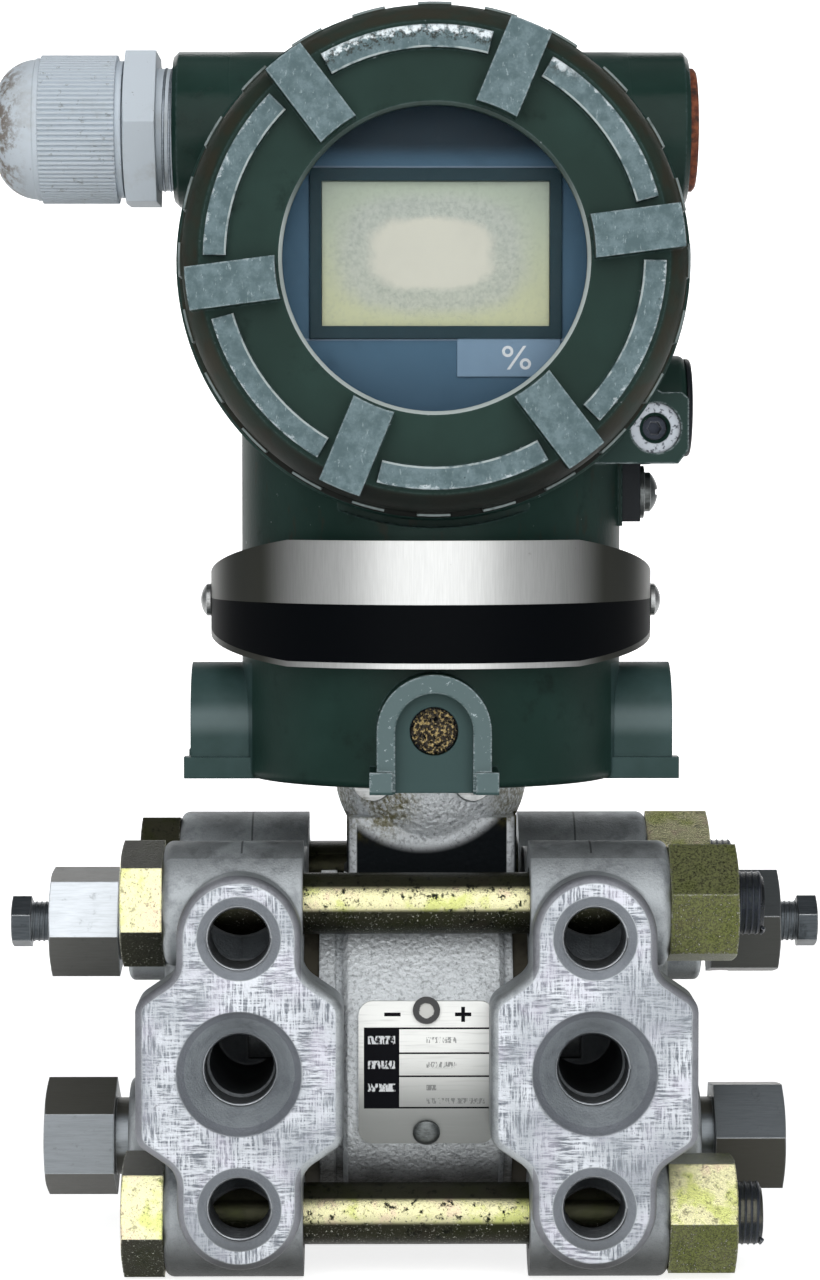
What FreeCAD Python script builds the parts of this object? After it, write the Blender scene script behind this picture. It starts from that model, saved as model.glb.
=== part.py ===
import FreeCAD, Part
import math
import os
import Sketcher

# Differential pressure transmitter. Millimetres.
# X runs across the two process ports, +Z is up and +Y goes into the transmitter.
# The origin is the centre of the four-bolt process pattern, on the milled faces of the flanges.

document = FreeCAD.newDocument("PressureTransmitter")
sheet = document.addObject("Spreadsheet::Sheet", "Sizes")

driving_sizes = {
    # process side
    "port_pitch": 54.0,
    "bolt_pitch": 41.3,
    "capsule_depth": 39.0,
    "port_radius": 5.72,
    "port_thread_end": 11.7,
    "port_passage_radius": 5.0,
    "port_cone_depth": 3.7,
    "port_cone_radius": 6.6,
    "port_mouth_radius": 9.6,
    "process_tapped_radius": 4.96,
    "process_mouth_radius": 6.45,
    "bracket_tapped_radius": 4.25,
    "bracket_mouth_radius": 5.4,
    "tapped_mouth_depth": 0.45,
    "tapped_depth": 9.9,
    "tapped_drill_point": 2.5,
    # flanges
    "flange_inner": 17.5,
    "flange_outer": 39.0,
    "flange_disc_radius": 30.5,
    "corner_boss_radius": 9.7,
    "through_bolt_up": 24.3,
    "through_bolt_out": 24.0,
    "through_bore_radius": 5.5,
    "pad_thickness": 9.5,
    "pad_lobe_radius": 9.5,
    "pad_half_width": 15.8,
    "pad_half_height": 9.7,
    "pad_shoulder": 14.6,
    "pad_edge": 1.4,
    "side_boss_radius": 9.5,
    "side_boss_reach": 46.0,
    "vent_up": 18.5,
    "drain_down": 16.5,
    "plug_thread_radius": 6.2,
    "plug_thread_length": 11.0,
    "plug_thread_room": 12.0,
    "side_passage_radius": 3.0,
    "flange_passage_radius": 4.0,
    "chamber_radius": 24.0,
    "chamber_depth": 2.2,
    # through-bolts
    "rod_radius": 4.8,
    "wrench_flats": 17.0,
    "bolt_head_thickness": 6.6,
    "nut_thickness": 10.6,
    "rod_stub": 4.2,
    "rod_point": 0.7,
    # plugs in the flanges
    "vent_hex_flats": 15.8,
    "vent_hex_length": 11.2,
    "vent_neck_length": 1.5,
    "vent_passage_radius": 1.2,
    "vent_spout_radius": 1.5,
    "vent_spout_setback": 9.0,
    "drain_hex_flats": 16.6,
    "drain_hex_length": 11.4,
    "drain_neck_length": 2.2,
    "vent_screw_radius": 3.1,
    "vent_screw_gap": 3.2,
    "vent_screw_head": 3.2,
    "vent_screw_flats": 7.4,
    # capsule
    "capsule_left": 11.4,
    "capsule_right": 13.7,
    "capsule_radius": 28.5,
    "collar_radius": 26.6,
    "gasket_radius": 25.8,
    "gasket_thickness": 2.4,
    "block_half_width": 13.5,
    "block_half_depth": 12.0,
    "block_top": 36.5,
    "bulb_radius": 15.4,
    "bulb_drop": 13.6,
    "spigot_groove_depth": 2.0,
    "sensor_radius": 7.9,
    "sensor_length": 14.0,
    "fill_plug_radius": 3.2,
    "fill_plug_spread": 7.95,
    "fill_plug_length": 3.4,
    "tag_half_width": 10.5,
    "tag_half_height": 11.2,
    "tag_thickness": 0.8,
    "tag_up": -1.7,
    "tag_corner": 2.2,
    "diaphragm_radius": 20.0,
    # housing
    "housing_shift": 2.6,
    "collar_bottom": 42.5,
    "neck_radius": 30.4,
    "neck_wall": 4.4,
    "spigot_radius": 25.9,
    "spigot_top": 60.0,
    "neck_hollow_top": 82.0,
    "neck_hollow_roof": 86.0,
    "wire_passage_radius": 5.0,
    "wire_passage_up": 84.0,
    "barrel_up": 123.1,
    "barrel_radius": 36.4,
    "barrel_lip_radius": 38.2,
    "barrel_front": 12.4,
    "barrel_back": 85.6,
    "barrel_bore": 34.0,
    "inner_bore": 29.6,
    "partition_front": 28.0,
    "partition_back": 31.5,
    "terminal_shoulder": 56.0,
    "hub_up": 146.5,
    "hub_depth": 44.0,
    "hub_radius": 12.5,
    "hub_bore": 10.2,
    "hub_reach": 41.3,
    "arch_up": 51.9,
    "arch_radius": 8.7,
    "arch_niche_radius": 5.9,
    "arch_reach": 38.4,
    "arch_niche_depth": 2.6,
    "arch_bore": 3.7,
    "foot_reach": 39.4,
    "foot_height": 3.4,
    "lug_right": 39.4,
    "lug_bottom": -30.6,
    "lug_top": -19.6,
    "lug_thickness": 13.0,
    "lock_right": 34.3,
    "lock_down": -25.1,
    "lock_mouth_radius": 3.9,
    "lock_bore": 1.9,
    "zero_boss_radius": 8.4,
    "zero_boss_reach": 41.0,
    "zero_spindle_radius": 4.0,
    "zero_bezel_radius": 7.9,
    "zero_bezel_thickness": 0.9,
    "zero_up": 101.6,
    "zero_depth": 42.0,
    "ground_up": 88.0,
    "ground_spacer_half": 4.7,
    "ground_spacer_thickness": 2.9,
    "ground_washer_radius": 4.2,
    "ground_washer_thickness": 0.8,
    # covers, measured out from the face they screw against
    "rim_lip_radius": 39.3,
    "rim_lip_height": 2.5,
    "rim_radius": 38.0,
    "rim_rib_height": 0.6,
    "rim_rib_spread": 7.5,
    "rim_thickness": 11.4,
    "cover_clearance": 1.1,
    "cover_floor": 15.4,
    "arc_rib_top": 17.0,
    "wrench_lug_top": 19.8,
    "face_radius": 35.2,
    "arc_rib_inner": 31.1,
    "arc_rib_outer": 34.5,
    "wrench_lug_inner": 23.8,
    "wrench_lug_outer": 37.2,
    "wrench_lug_width": 6.5,
    "window_radius": 22.8,
    "glass_radius": 26.9,
    "glass_thickness": 3.6,
    "skirt_length": 9.0,
    "skirt_radius": 33.92,
    "skirt_bore": 30.6,
    "seal_section": 1.12,
    "window_ring_height": 2.4,
    "closed_face_thickness": 3.5,
    # display
    "display_front": 7.6,
    "display_plate_radius": 29.3,
    "display_right": 0.3,
    "display_up": 124.4,
    "frame_width": 38.4,
    "frame_height": 25.9,
    "panel_width": 34.7,
    "panel_height": 22.0,
    "panel_setback": 0.9,
    "unit_plate_width": 15.7,
    "unit_plate_height": 5.8,
    "unit_plate_right": 11.4,
    "unit_plate_up": 108.6,
    "pillar_radius": 1.9,
    "pillar_circle": 26.2,
    "board_radius": 29.2,
    "board_thickness": 1.6,
    "display_board_setback": 4.2,
    "amplifier_board_setback": 11.0,
    # terminals
    "terminal_pitch": 10.4,
    "terminal_base_thickness": 6.0,
    "terminal_height": 14.0,
    "terminal_floor": 8.0,
    "terminal_pocket_half": 4.2,
    # cable gland and blind plug
    "gland_flats": 24.0,
    "gland_hex_length": 5.2,
    "gland_neck": 2.6,
    "gland_nut_length": 13.0,
    "gland_nut_radius": 11.9,
    "gland_dome_length": 6.0,
    "gland_tube_radius": 9.6,
    "gland_tube_bore": 7.2,
    "gland_tube_length": 14.0,
    "gland_thread_length": 9.0,
    "gland_grip_height": 0.45,
    "cable_bore": 5.2,
    "blind_plug_radius": 9.9,
    "blind_plug_head": 1.4,
    "blind_plug_socket": 10.0,
    # nameplate
    "plate_radius": 35.4,
    "plate_thickness": 0.9,
    "plate_low": 61.3,
    "plate_high": 80.8,
    "plate_end_low": 65.8,
    "plate_end_high": 74.7,
    "plate_straight_angle": 39.5,
}

for row, (alias, number) in enumerate(driving_sizes.items(), start=1):
    sheet.set(f"A{row}", alias.replace("_", " "))
    sheet.set(f"B{row}", str(number))
    sheet.setAlias(f"B{row}", alias)
document.recompute()


class Size:
    """A number together with the sheet expression that it comes from."""

    def __init__(self, number, text):
        self.number = number
        self.text = text

    def joined(self, other, sign, number):
        return Size(number, f"({self.text} {sign} {size_of(other).text})")

    def __add__(self, other):
        return self.joined(other, "+", self.number + size_of(other).number)

    def __sub__(self, other):
        return self.joined(other, "-", self.number - size_of(other).number)

    def __mul__(self, other):
        return self.joined(other, "*", self.number * size_of(other).number)

    def __truediv__(self, other):
        return self.joined(other, "/", self.number / size_of(other).number)

    def __radd__(self, other):
        return size_of(other) + self

    def __rsub__(self, other):
        return size_of(other) - self

    def __rmul__(self, other):
        return size_of(other) * self

    def __neg__(self):
        return 0 - self


def size_of(thing):
    return thing if isinstance(thing, Size) else Size(float(thing), repr(float(thing)))


class Sizes:
    """Reads a cell of the sheet by its alias."""

    def __getattr__(self, alias):
        return Size(float(sheet.get(alias)), f"{sheet.Name}.{alias}")


s = Sizes()


def bind(item, name, size):
    """Sets one property and ties it to the sheet."""
    size = size_of(size)
    setattr(item, name, size.number)
    item.setExpression(name, size.text)


# Turns that carry a local +Z axis to each direction of the part
headings = {
    "up": FreeCAD.Rotation(),
    "down": FreeCAD.Rotation(FreeCAD.Vector(1, 0, 0), 180),
    "front": FreeCAD.Rotation(FreeCAD.Vector(1, 0, 0), 90),
    "back": FreeCAD.Rotation(FreeCAD.Vector(1, 0, 0), -90),
    "right": FreeCAD.Rotation(FreeCAD.Vector(0, 1, 0), 90),
    "left": FreeCAD.Rotation(FreeCAD.Vector(0, 1, 0), -90),
}


def place(item, at, heading="up", spin=0):
    """Puts an object's own origin at a point, its +Z along a heading, turned about it by spin."""
    rotation = headings[heading].multiply(FreeCAD.Rotation(FreeCAD.Vector(0, 0, 1), spin))
    points = [size_of(value) for value in at]
    item.Placement = FreeCAD.Placement(FreeCAD.Vector(*[p.number for p in points]), rotation)
    for letter, point in zip("xyz", points):
        item.setExpression(f"Placement.Base.{letter}", point.text)
    return item


def cylinder(name, radius, length, at=(0, 0, 0), heading="up"):
    item = document.addObject("Part::Cylinder", name)
    bind(item, "Radius", radius)
    bind(item, "Height", length)
    return place(item, at, heading)


def ring(name, centre_radius, section_radius, at, heading):
    item = document.addObject("Part::Torus", name)
    bind(item, "Radius1", centre_radius)
    bind(item, "Radius2", section_radius)
    return place(item, at, heading)


def box(name, low, high):
    """A box given by its lowest and highest corners."""
    item = document.addObject("Part::Box", name)
    for prop, start, end in zip(("Length", "Width", "Height"), low, high):
        bind(item, prop, size_of(end) - size_of(start))
    return place(item, low)


def hexagon(name, flats, length, at, heading, spin=0):
    item = document.addObject("Part::Prism", name)
    item.Polygon = 6
    bind(item, "Circumradius", flats / math.sqrt(3))
    bind(item, "Height", length)
    return place(item, at, heading, spin)


def fuse(name, *pieces):
    item = document.addObject("Part::MultiFuse", name)
    item.Shapes = list(pieces)
    item.Refine = True
    return item


def common(name, *pieces):
    item = document.addObject("Part::MultiCommon", name)
    item.Shapes = list(pieces)
    return item


def cut(name, base, *tools):
    tool = tools[0] if len(tools) == 1 else fuse(name + "_tools", *tools)
    item = document.addObject("Part::Cut", name)
    item.Base = base
    item.Tool = tool
    item.Refine = True
    return item


def group(name, *pieces):
    """Separate solids of identical pieces in one sub-part."""
    item = document.addObject("Part::Compound", name)
    item.Links = list(pieces)
    return item


def mirrored(name, source):
    """The same piece on the other side of the plane X = 0."""
    item = document.addObject("Part::Mirroring", name)
    item.Source = source
    item.Normal = FreeCAD.Vector(1, 0, 0)
    return item


def draw(sketch, corners):
    """Draws a closed outline. A corner is (x, y), or (x, y, radius) where an arc runs on to the
    next corner: counterclockwise with a positive radius, clockwise with a negative one."""
    points = [tuple(size_of(value) for value in corner) for corner in corners]
    starts = []
    for index, corner in enumerate(points):
        following = points[(index + 1) % len(points)]
        here = FreeCAD.Vector(corner[0].number, corner[1].number, 0)
        there = FreeCAD.Vector(following[0].number, following[1].number, 0)
        if len(corner) == 2:
            edge = sketch.addGeometry(Part.LineSegment(here, there))
            starts.append((edge, 1, 2))
            continue
        radius = corner[2].number
        first, last = (here, there) if radius > 0 else (there, here)
        half = (last - first) * 0.5
        rise = math.sqrt(max(radius ** 2 - half.Length ** 2, 0))
        across = FreeCAD.Vector(-half.y, half.x, 0).normalize()
        centre = first + half + across * rise
        circle = Part.Circle(centre, FreeCAD.Vector(0, 0, 1), abs(radius))
        angles = [math.atan2((p - centre).y, (p - centre).x) for p in (first, last)]
        edge = sketch.addGeometry(Part.ArcOfCircle(circle, angles[0], angles[1]))
        starts.append((edge, 1, 2) if radius > 0 else (edge, 2, 1))
    for index, (edge, start, _) in enumerate(starts):
        previous_edge, _, previous_end = starts[index - 1]
        sketch.addConstraint(Sketcher.Constraint("Coincident", previous_edge, previous_end, edge, start))
        for kind, axis, value in (("DistanceX", -2, points[index][0]), ("DistanceY", -1, points[index][1])):
            if value.number == 0:
                sketch.addConstraint(Sketcher.Constraint("PointOnObject", edge, start, axis))
                continue
            rule = sketch.addConstraint(Sketcher.Constraint(kind, -1, 1, edge, start, value.number))
            sketch.setExpression(f"Constraints[{rule}]", value.text)
    for index, corner in enumerate(points):
        if len(corner) == 3:
            radius = corner[2] if corner[2].number > 0 else -corner[2]
            rule = sketch.addConstraint(Sketcher.Constraint("Radius", starts[index][0], radius.number))
            sketch.setExpression(f"Constraints[{rule}]", radius.text)


def new_sketch(body, name, plane):
    """A sketch on one of the body's own origin planes."""
    sketch = body.newObject("Sketcher::SketchObject", name)
    support = next(item for item in body.Origin.OriginFeatures if item.Role == plane)
    sketch.AttachmentSupport = [(support, "")]
    sketch.MapMode = "FlatFace"
    return sketch


def turn(body, name, corners, kind="PartDesign::Revolution"):
    """Turns an outline of (radius, height) corners round the body's Z axis."""
    sketch = new_sketch(body, name + "_outline", "XZ_Plane")
    draw(sketch, corners)
    feature = body.newObject(kind, name)
    feature.Profile = sketch
    feature.ReferenceAxis = (sketch, ["V_Axis"])
    feature.Angle = 360
    body.Tip = feature
    return feature


def turned(name, corners, at=(0, 0, 0), heading="up", spin=0):
    body = document.addObject("PartDesign::Body", name)
    turn(body, name + "_turned", corners)
    return place(body, at, heading, spin)


def raise_outline(body, name, corners, start, end, kind="PartDesign::Pad"):
    """Pads or pockets an outline in the body's XY plane between two heights."""
    sketch = new_sketch(body, name + "_outline", "XY_Plane")
    draw(sketch, corners)
    start, end = size_of(start), size_of(end)
    sketch.setExpression("AttachmentOffset.Base.z", start.text)
    feature = body.newObject(kind, name)
    feature.Profile = sketch
    feature.Reversed = kind == "PartDesign::Pocket"
    bind(feature, "Length", end - start)
    body.Tip = feature
    return feature


def extruded(name, corners, start, end, at=(0, 0, 0), heading="up", spin=0):
    body = document.addObject("PartDesign::Body", name)
    raise_outline(body, name + "_raised", corners, start, end)
    return place(body, at, heading, spin)


def repeat_round(body, name, features, count):
    """A polar pattern of features about the body's Z axis."""
    pattern = body.newObject("PartDesign::PolarPattern", name)
    pattern.Originals = features
    axis = next(item for item in body.Origin.OriginFeatures if item.Role == "Z_Axis")
    pattern.Axis = (axis, [""])
    pattern.Angle = 360
    pattern.Occurrences = count
    body.Tip = pattern
    return pattern


def rectangle(left, bottom, right, top):
    return [(left, bottom), (right, bottom), (right, top), (left, top)]


nodes = []


def sub_part(item, label):
    item.Label = label
    nodes.append(item)
    return item


# ---------------------------------------------------------------- process flanges

port_x = s.port_pitch / 2
bolt_z = s.bolt_pitch / 2
rear_face = s.capsule_depth * 2


def pad(name, at, heading):
    """The milled pad of a flange: a broad middle with a round lobe above and below it."""
    lobe, half, high = s.pad_lobe_radius, s.pad_half_width, s.pad_half_height
    shoulder, round_over = s.pad_shoulder, 3.2
    side = [
        (lobe, bolt_z, lobe),
        (0, bolt_z + lobe, lobe),
        (-lobe, bolt_z),
        (-lobe, shoulder + 2.4, -4),
        (-(lobe + 1.6), shoulder - 0.6),
        (-(half - 1.2), high + 1.9, round_over),
        (-half, high - 0.8),
        (-half, -(high - 0.8), round_over),
        (-(half - 1.2), -(high + 1.9)),
        (-(lobe + 1.6), -(shoulder - 0.6), -4),
        (-lobe, -(shoulder + 2.4)),
        (-lobe, -bolt_z, lobe),
        (0, -(bolt_z + lobe), lobe),
        (lobe, -bolt_z),
        (lobe, -(shoulder + 2.4), -4),
        (lobe + 1.6, -(shoulder - 0.6)),
        (half - 1.2, -(high + 1.9), round_over),
        (half, -(high - 0.8)),
        (half, high - 0.8, round_over),
        (half - 1.2, high + 1.9),
        (lobe + 1.6, shoulder - 0.6, -4),
        (lobe, shoulder + 2.4),
    ]
    body = document.addObject("PartDesign::Body", name)
    slab = raise_outline(body, name + "_slab", side, 0, s.pad_thickness)
    document.recompute()
    face = max(range(len(slab.Shape.Faces)), key=lambda i: slab.Shape.Faces[i].CenterOfMass.z)
    edge = body.newObject("PartDesign::Fillet", name + "_edge")
    edge.Base = (slab, [f"Face{face + 1}"])
    bind(edge, "Radius", s.pad_edge)
    body.Tip = edge
    return place(body, at, heading)


def softened(name, radius, length, at, heading, edge):
    """A cast boss: a cylinder with a rounded edge at its far end."""
    return turned(name, [(0, 0), (radius, 0), (radius, length - edge, edge), (radius - edge, length),
                         (0, length)], at, heading)


def flange():
    """The right-hand flange; the left-hand one is its mirror image."""
    inner, outer, depth = s.flange_inner, s.flange_outer, s.capsule_depth
    width = outer - inner
    solid = [softened("flange_disc", s.flange_disc_radius, width, (inner, depth, 0), "right", 1.5)]
    voids = []
    for row, height in (("upper", s.through_bolt_up), ("lower", -s.through_bolt_up)):
        for side, reach in (("front", -s.through_bolt_out), ("rear", s.through_bolt_out)):
            where = (inner, depth + reach, height)
            name = f"flange_{row}_{side}"
            solid.append(softened(name + "_boss", s.corner_boss_radius, width, where, "right", 1.5))
            voids.append(cylinder(name + "_bore", s.through_bore_radius, width, where, "right"))
    solid.append(pad("flange_front_pad", (port_x, s.pad_thickness, 0), "front"))
    solid.append(pad("flange_rear_pad", (port_x, rear_face - s.pad_thickness, 0), "back"))
    for name, height in (("vent", s.vent_up), ("drain", -s.drain_down)):
        reach = s.side_boss_reach - outer + 4
        solid.append(softened(f"flange_{name}_boss", s.side_boss_radius, reach,
                              (outer - 4, depth, height), "right", 1))
        voids.append(cylinder(f"flange_{name}_thread", s.plug_thread_radius, s.plug_thread_room,
                              (s.side_boss_reach - s.plug_thread_room, depth, height), "right"))
        voids.append(cylinder(f"flange_{name}_passage", s.side_passage_radius, s.side_boss_reach - inner,
                              (inner, depth, height), "right"))
    voids.append(cylinder("flange_chamber", s.chamber_radius, s.chamber_depth, (inner, depth, 0), "right"))
    voids.append(cylinder("flange_passage", s.flange_passage_radius, port_x - inner, (inner, depth, 0),
                          "right"))
    cone_end, thread_end = s.port_cone_depth, s.port_thread_end
    voids.append(turned("flange_port", [
        (0, 0), (s.port_mouth_radius, 0), (s.port_mouth_radius - 0.5, 0.7), (s.port_cone_radius, cone_end),
        (s.port_radius, cone_end + 0.9), (s.port_radius, thread_end), (s.port_passage_radius, thread_end),
        (s.port_passage_radius, s.capsule_depth), (0, s.capsule_depth)], (port_x, 0, 0), "back"))
    tapped = (("process", 0, "back", s.process_mouth_radius, s.process_tapped_radius),
              ("bracket", rear_face, "front", s.bracket_mouth_radius, s.bracket_tapped_radius))
    for row, height in (("upper", bolt_z), ("lower", -bolt_z)):
        for side, start, heading, mouth, radius in tapped:
            voids.append(turned(f"flange_{row}_{side}_tapped", [
                (0, 0), (mouth, 0), (radius, s.tapped_mouth_depth), (radius, s.tapped_depth),
                (0, s.tapped_depth + s.tapped_drill_point)], (port_x, start, height), heading))
    return cut("flange_casting", fuse("flange_solid", *solid), *voids)


flange_right = sub_part(flange(), "flange_right")
flange_left = sub_part(mirrored("flange_left", flange_right), "flange_left")


# ---------------------------------------------------------------- through-bolts and nuts

def chamfered_hexagon(name, flats, length, at, heading, spin, bevel=0.9):
    """A hexagon whose far corners are turned off, as on a nut or a bolt head."""
    prism = hexagon(name + "_prism", flats, length, at, heading, spin)
    corner = flats / math.sqrt(3)
    bevel_length = bevel * (2 / math.sqrt(3) - 1) * 2.2
    blank = turned(name + "_blank", [
        (0, 0), (corner + 0.1, 0), (corner + 0.1, length - bevel_length),
        (flats / 2 - 0.3, length), (0, length)], at, heading)
    return common(name, prism, blank)


bolt_spins = {"upper_front": 2, "lower_front": -5, "upper_rear": 8, "lower_rear": 20}
nut_spins = {"upper_front": 27, "lower_front": -14, "upper_rear": 30, "lower_rear": 11}
bolts, nuts = [], []
for corner, spin in bolt_spins.items():
    row, side = corner.split("_")
    height = s.through_bolt_up if row == "upper" else -s.through_bolt_up
    reach = -s.through_bolt_out if side == "front" else s.through_bolt_out
    across = s.capsule_depth + reach
    head = chamfered_hexagon(f"head_{corner}", s.wrench_flats, s.bolt_head_thickness,
                             (-s.flange_outer, across, height), "left", 90 + spin)
    rod_length = s.flange_outer * 2 + s.nut_thickness + s.rod_stub
    rod = turned(f"rod_{corner}", [(0, -1), (s.rod_radius, -1), (s.rod_radius, rod_length - s.rod_point),
                                   (s.rod_radius - s.rod_point, rod_length), (0, rod_length)],
                 (-s.flange_outer, across, height), "right")
    bolts.append(fuse(f"bolt_{corner}", head, rod))
    blank = chamfered_hexagon(f"nut_{corner}_blank", s.wrench_flats, s.nut_thickness,
                              (s.flange_outer, across, height), "right", 90 + nut_spins[corner])
    bore = cylinder(f"nut_{corner}_bore", s.rod_radius, s.nut_thickness,
                    (s.flange_outer, across, height), "right")
    nuts.append(cut(f"nut_{corner}", blank, bore))
sub_part(group("flange_bolts", *bolts), "flange_bolts")
sub_part(group("flange_nuts", *nuts), "flange_nuts")


# ---------------------------------------------------------------- vent and drain plugs

def plug_blank(name, flats, neck, hex_length, height, spin, heading, sign):
    """A hexagon plug with a plain neck and a threaded shank in the flange's side boss."""
    face = sign * s.side_boss_reach
    bevelled = chamfered_hexagon(name + "_hex", flats, hex_length,
                                 (face + sign * neck, s.capsule_depth, height), heading, spin)
    shank = turned(name + "_shank", [
        (0, -s.plug_thread_length), (s.plug_thread_radius, -s.plug_thread_length),
        (s.plug_thread_radius, neck + 1), (0, neck + 1)], (face, s.capsule_depth, height), heading)
    return fuse(name, bevelled, shank)


vent_plugs, drain_plugs = [], []
sides = (("left", "left", -1, 0), ("right", "right", 1, 30))
for side, heading, sign, spin in sides:
    blank = plug_blank(f"vent_plug_{side}_blank", s.vent_hex_flats, s.vent_neck_length, s.vent_hex_length,
                       s.vent_up, 90 + spin, heading, sign)
    mouth = sign * (s.side_boss_reach + s.vent_neck_length + s.vent_hex_length)
    where = (mouth, s.capsule_depth, s.vent_up)
    inward = "right" if sign < 0 else "left"
    bore = cylinder(f"vent_plug_{side}_bore", s.vent_screw_radius + 0.05, s.plug_thread_room, where, inward)
    passage = cylinder(f"vent_plug_{side}_passage", s.vent_passage_radius, s.plug_thread_room * 2.5, where,
                       inward)
    spout = cylinder(f"vent_plug_{side}_spout", s.vent_spout_radius, s.vent_hex_flats,
                     (mouth - sign * s.vent_spout_setback, s.capsule_depth, s.vent_up), "down")
    vent_plugs.append(cut(f"vent_plug_{side}", blank, bore, passage, spout))
    drain_plugs.append(plug_blank(f"drain_plug_{side}", s.drain_hex_flats, s.drain_neck_length,
                                  s.drain_hex_length, -s.drain_down, 90 + spin + 12, heading, sign))
    shank = turned(f"vent_screw_{side}_shank", [
        (0, -8.6), (0.9, -8.6), (s.vent_screw_radius - 0.6, -6.6), (s.vent_screw_radius, -6.2),
        (s.vent_screw_radius, s.vent_screw_gap + 0.5), (0, s.vent_screw_gap + 0.5)], where, heading)
    head = chamfered_hexagon(f"vent_screw_{side}_head", s.vent_screw_flats, s.vent_screw_head,
                             (mouth + sign * s.vent_screw_gap, s.capsule_depth, s.vent_up), heading,
                             10 * sign, 0.5)
    sub_part(fuse(f"vent_screw_{side}", shank, head), f"vent_screw_{side}")
sub_part(group("vent_plugs", *vent_plugs), "vent_plugs")
sub_part(group("drain_plugs", *drain_plugs), "drain_plugs")


# ---------------------------------------------------------------- capsule

capsule_shift = (s.capsule_right - s.capsule_left) / 2
gasket_start = s.flange_inner - s.gasket_thickness
core_radius = s.chamber_radius - 1.2
disc = turned("capsule_disc", [
    (0, -s.flange_inner), (core_radius, -s.flange_inner), (core_radius, -gasket_start),
    (s.collar_radius, -gasket_start), (s.collar_radius, -s.capsule_left - 1.2),
    (s.collar_radius - 1.1, -s.capsule_left - 1.2), (s.collar_radius - 1.1, -s.capsule_left),
    (s.capsule_radius - 0.8, -s.capsule_left), (s.capsule_radius, -s.capsule_left + 0.8),
    (s.capsule_radius, s.capsule_right - 0.8), (s.capsule_radius - 0.8, s.capsule_right),
    (s.collar_radius, s.capsule_right), (s.collar_radius, gasket_start),
    (core_radius, gasket_start), (core_radius, s.flange_inner), (0, s.flange_inner)],
    (0, s.capsule_depth, 0), "right")
axis_x, axis_y = s.housing_shift, s.capsule_depth
block = box("capsule_block", (axis_x - s.block_half_width, axis_y - s.block_half_depth, s.collar_radius),
            (axis_x + s.block_half_width, axis_y + s.block_half_depth, s.block_top))
block_edges = document.addObject("Part::Fillet", "capsule_block_rounded")
block_edges.Base = block
document.recompute()
upright = [index + 1 for index, edge in enumerate(block.Shape.Edges)
           if abs(edge.tangentAt(edge.FirstParameter).z) > 0.9]
block_edges.Edges = [(index, 2.0, 2.0) for index in upright]
bulb = turned("capsule_bulb", [
    (0, s.collar_bottom - s.bulb_drop), (7, s.collar_bottom - s.bulb_drop + 0.6, 15),
    (s.bulb_radius, s.collar_bottom - 1.2), (s.bulb_radius, s.collar_bottom + 1.5),
    (s.spigot_radius, s.collar_bottom + 1.5), (s.spigot_radius, s.spigot_top - 6),
    (s.spigot_radius - s.spigot_groove_depth, s.spigot_top - 6),
    (s.spigot_radius - s.spigot_groove_depth, s.spigot_top - 3),
    (s.spigot_radius, s.spigot_top - 3), (s.spigot_radius, s.spigot_top), (13, s.spigot_top),
    (13, s.spigot_top + 6), (0, s.spigot_top + 6)], (axis_x, axis_y, 0))
plug_holes, fill_plugs = [], []
for side, sign in (("left", -1), ("right", 1)):
    where = (capsule_shift + sign * s.fill_plug_spread, axis_y - s.bulb_radius, s.collar_bottom - 0.2)
    plug_holes.append(cylinder(f"fill_{side}_hole", s.fill_plug_radius, 6, where, "back"))
    fill_plugs.append(cylinder(f"fill_plug_{side}", s.fill_plug_radius - 0.1, s.fill_plug_length,
                               (where[0], where[1] + 2.4 - sign * 0.2, where[2]), "back"))
neck_holes = [cylinder(f"spigot_{side}_hole", 2.5, 9, (axis_x, axis_y + sign * (s.spigot_radius - 7), s.arch_up),
                       heading)
              for side, sign, heading in (("front", -1, "front"), ("rear", 1, "back"))]
sensor_hole = cylinder("sensor_hole", s.sensor_radius + 0.1, s.sensor_length - 2,
                       (axis_x, axis_y, s.spigot_top - 5))
sub_part(cut("capsule_body", fuse("capsule_solid", disc, block_edges, bulb), *plug_holes, *neck_holes,
             sensor_hole), "capsule_body")
sub_part(group("fill_plugs", *fill_plugs), "fill_plugs")
sub_part(cylinder("pressure_sensor", s.sensor_radius, s.sensor_length, (axis_x, axis_y, s.spigot_top - 5)),
         "pressure_sensor")

gaskets, diaphragms = [], []
for side, heading, sign in (("left", "left", -1), ("right", "right", 1)):
    gaskets.append(turned(f"capsule_gasket_{side}", rectangle(s.chamber_radius - 1.1, 0, s.gasket_radius,
                                                              s.gasket_thickness),
                          (sign * gasket_start, s.capsule_depth, 0), heading))
    diaphragms.append(turned(f"diaphragm_{side}", [
        (0, 0), (s.diaphragm_radius, 0), (s.diaphragm_radius, 0.4),
        (16, 0.4), (14.5, 0.9), (13, 0.4), (10, 0.4), (8.5, 0.9), (7, 0.4),
        (0, 0.4)], (sign * s.flange_inner, s.capsule_depth, 0), heading))
sub_part(group("capsule_gaskets", *gaskets), "capsule_gaskets")
sub_part(group("diaphragms", *diaphragms), "diaphragms")

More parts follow.
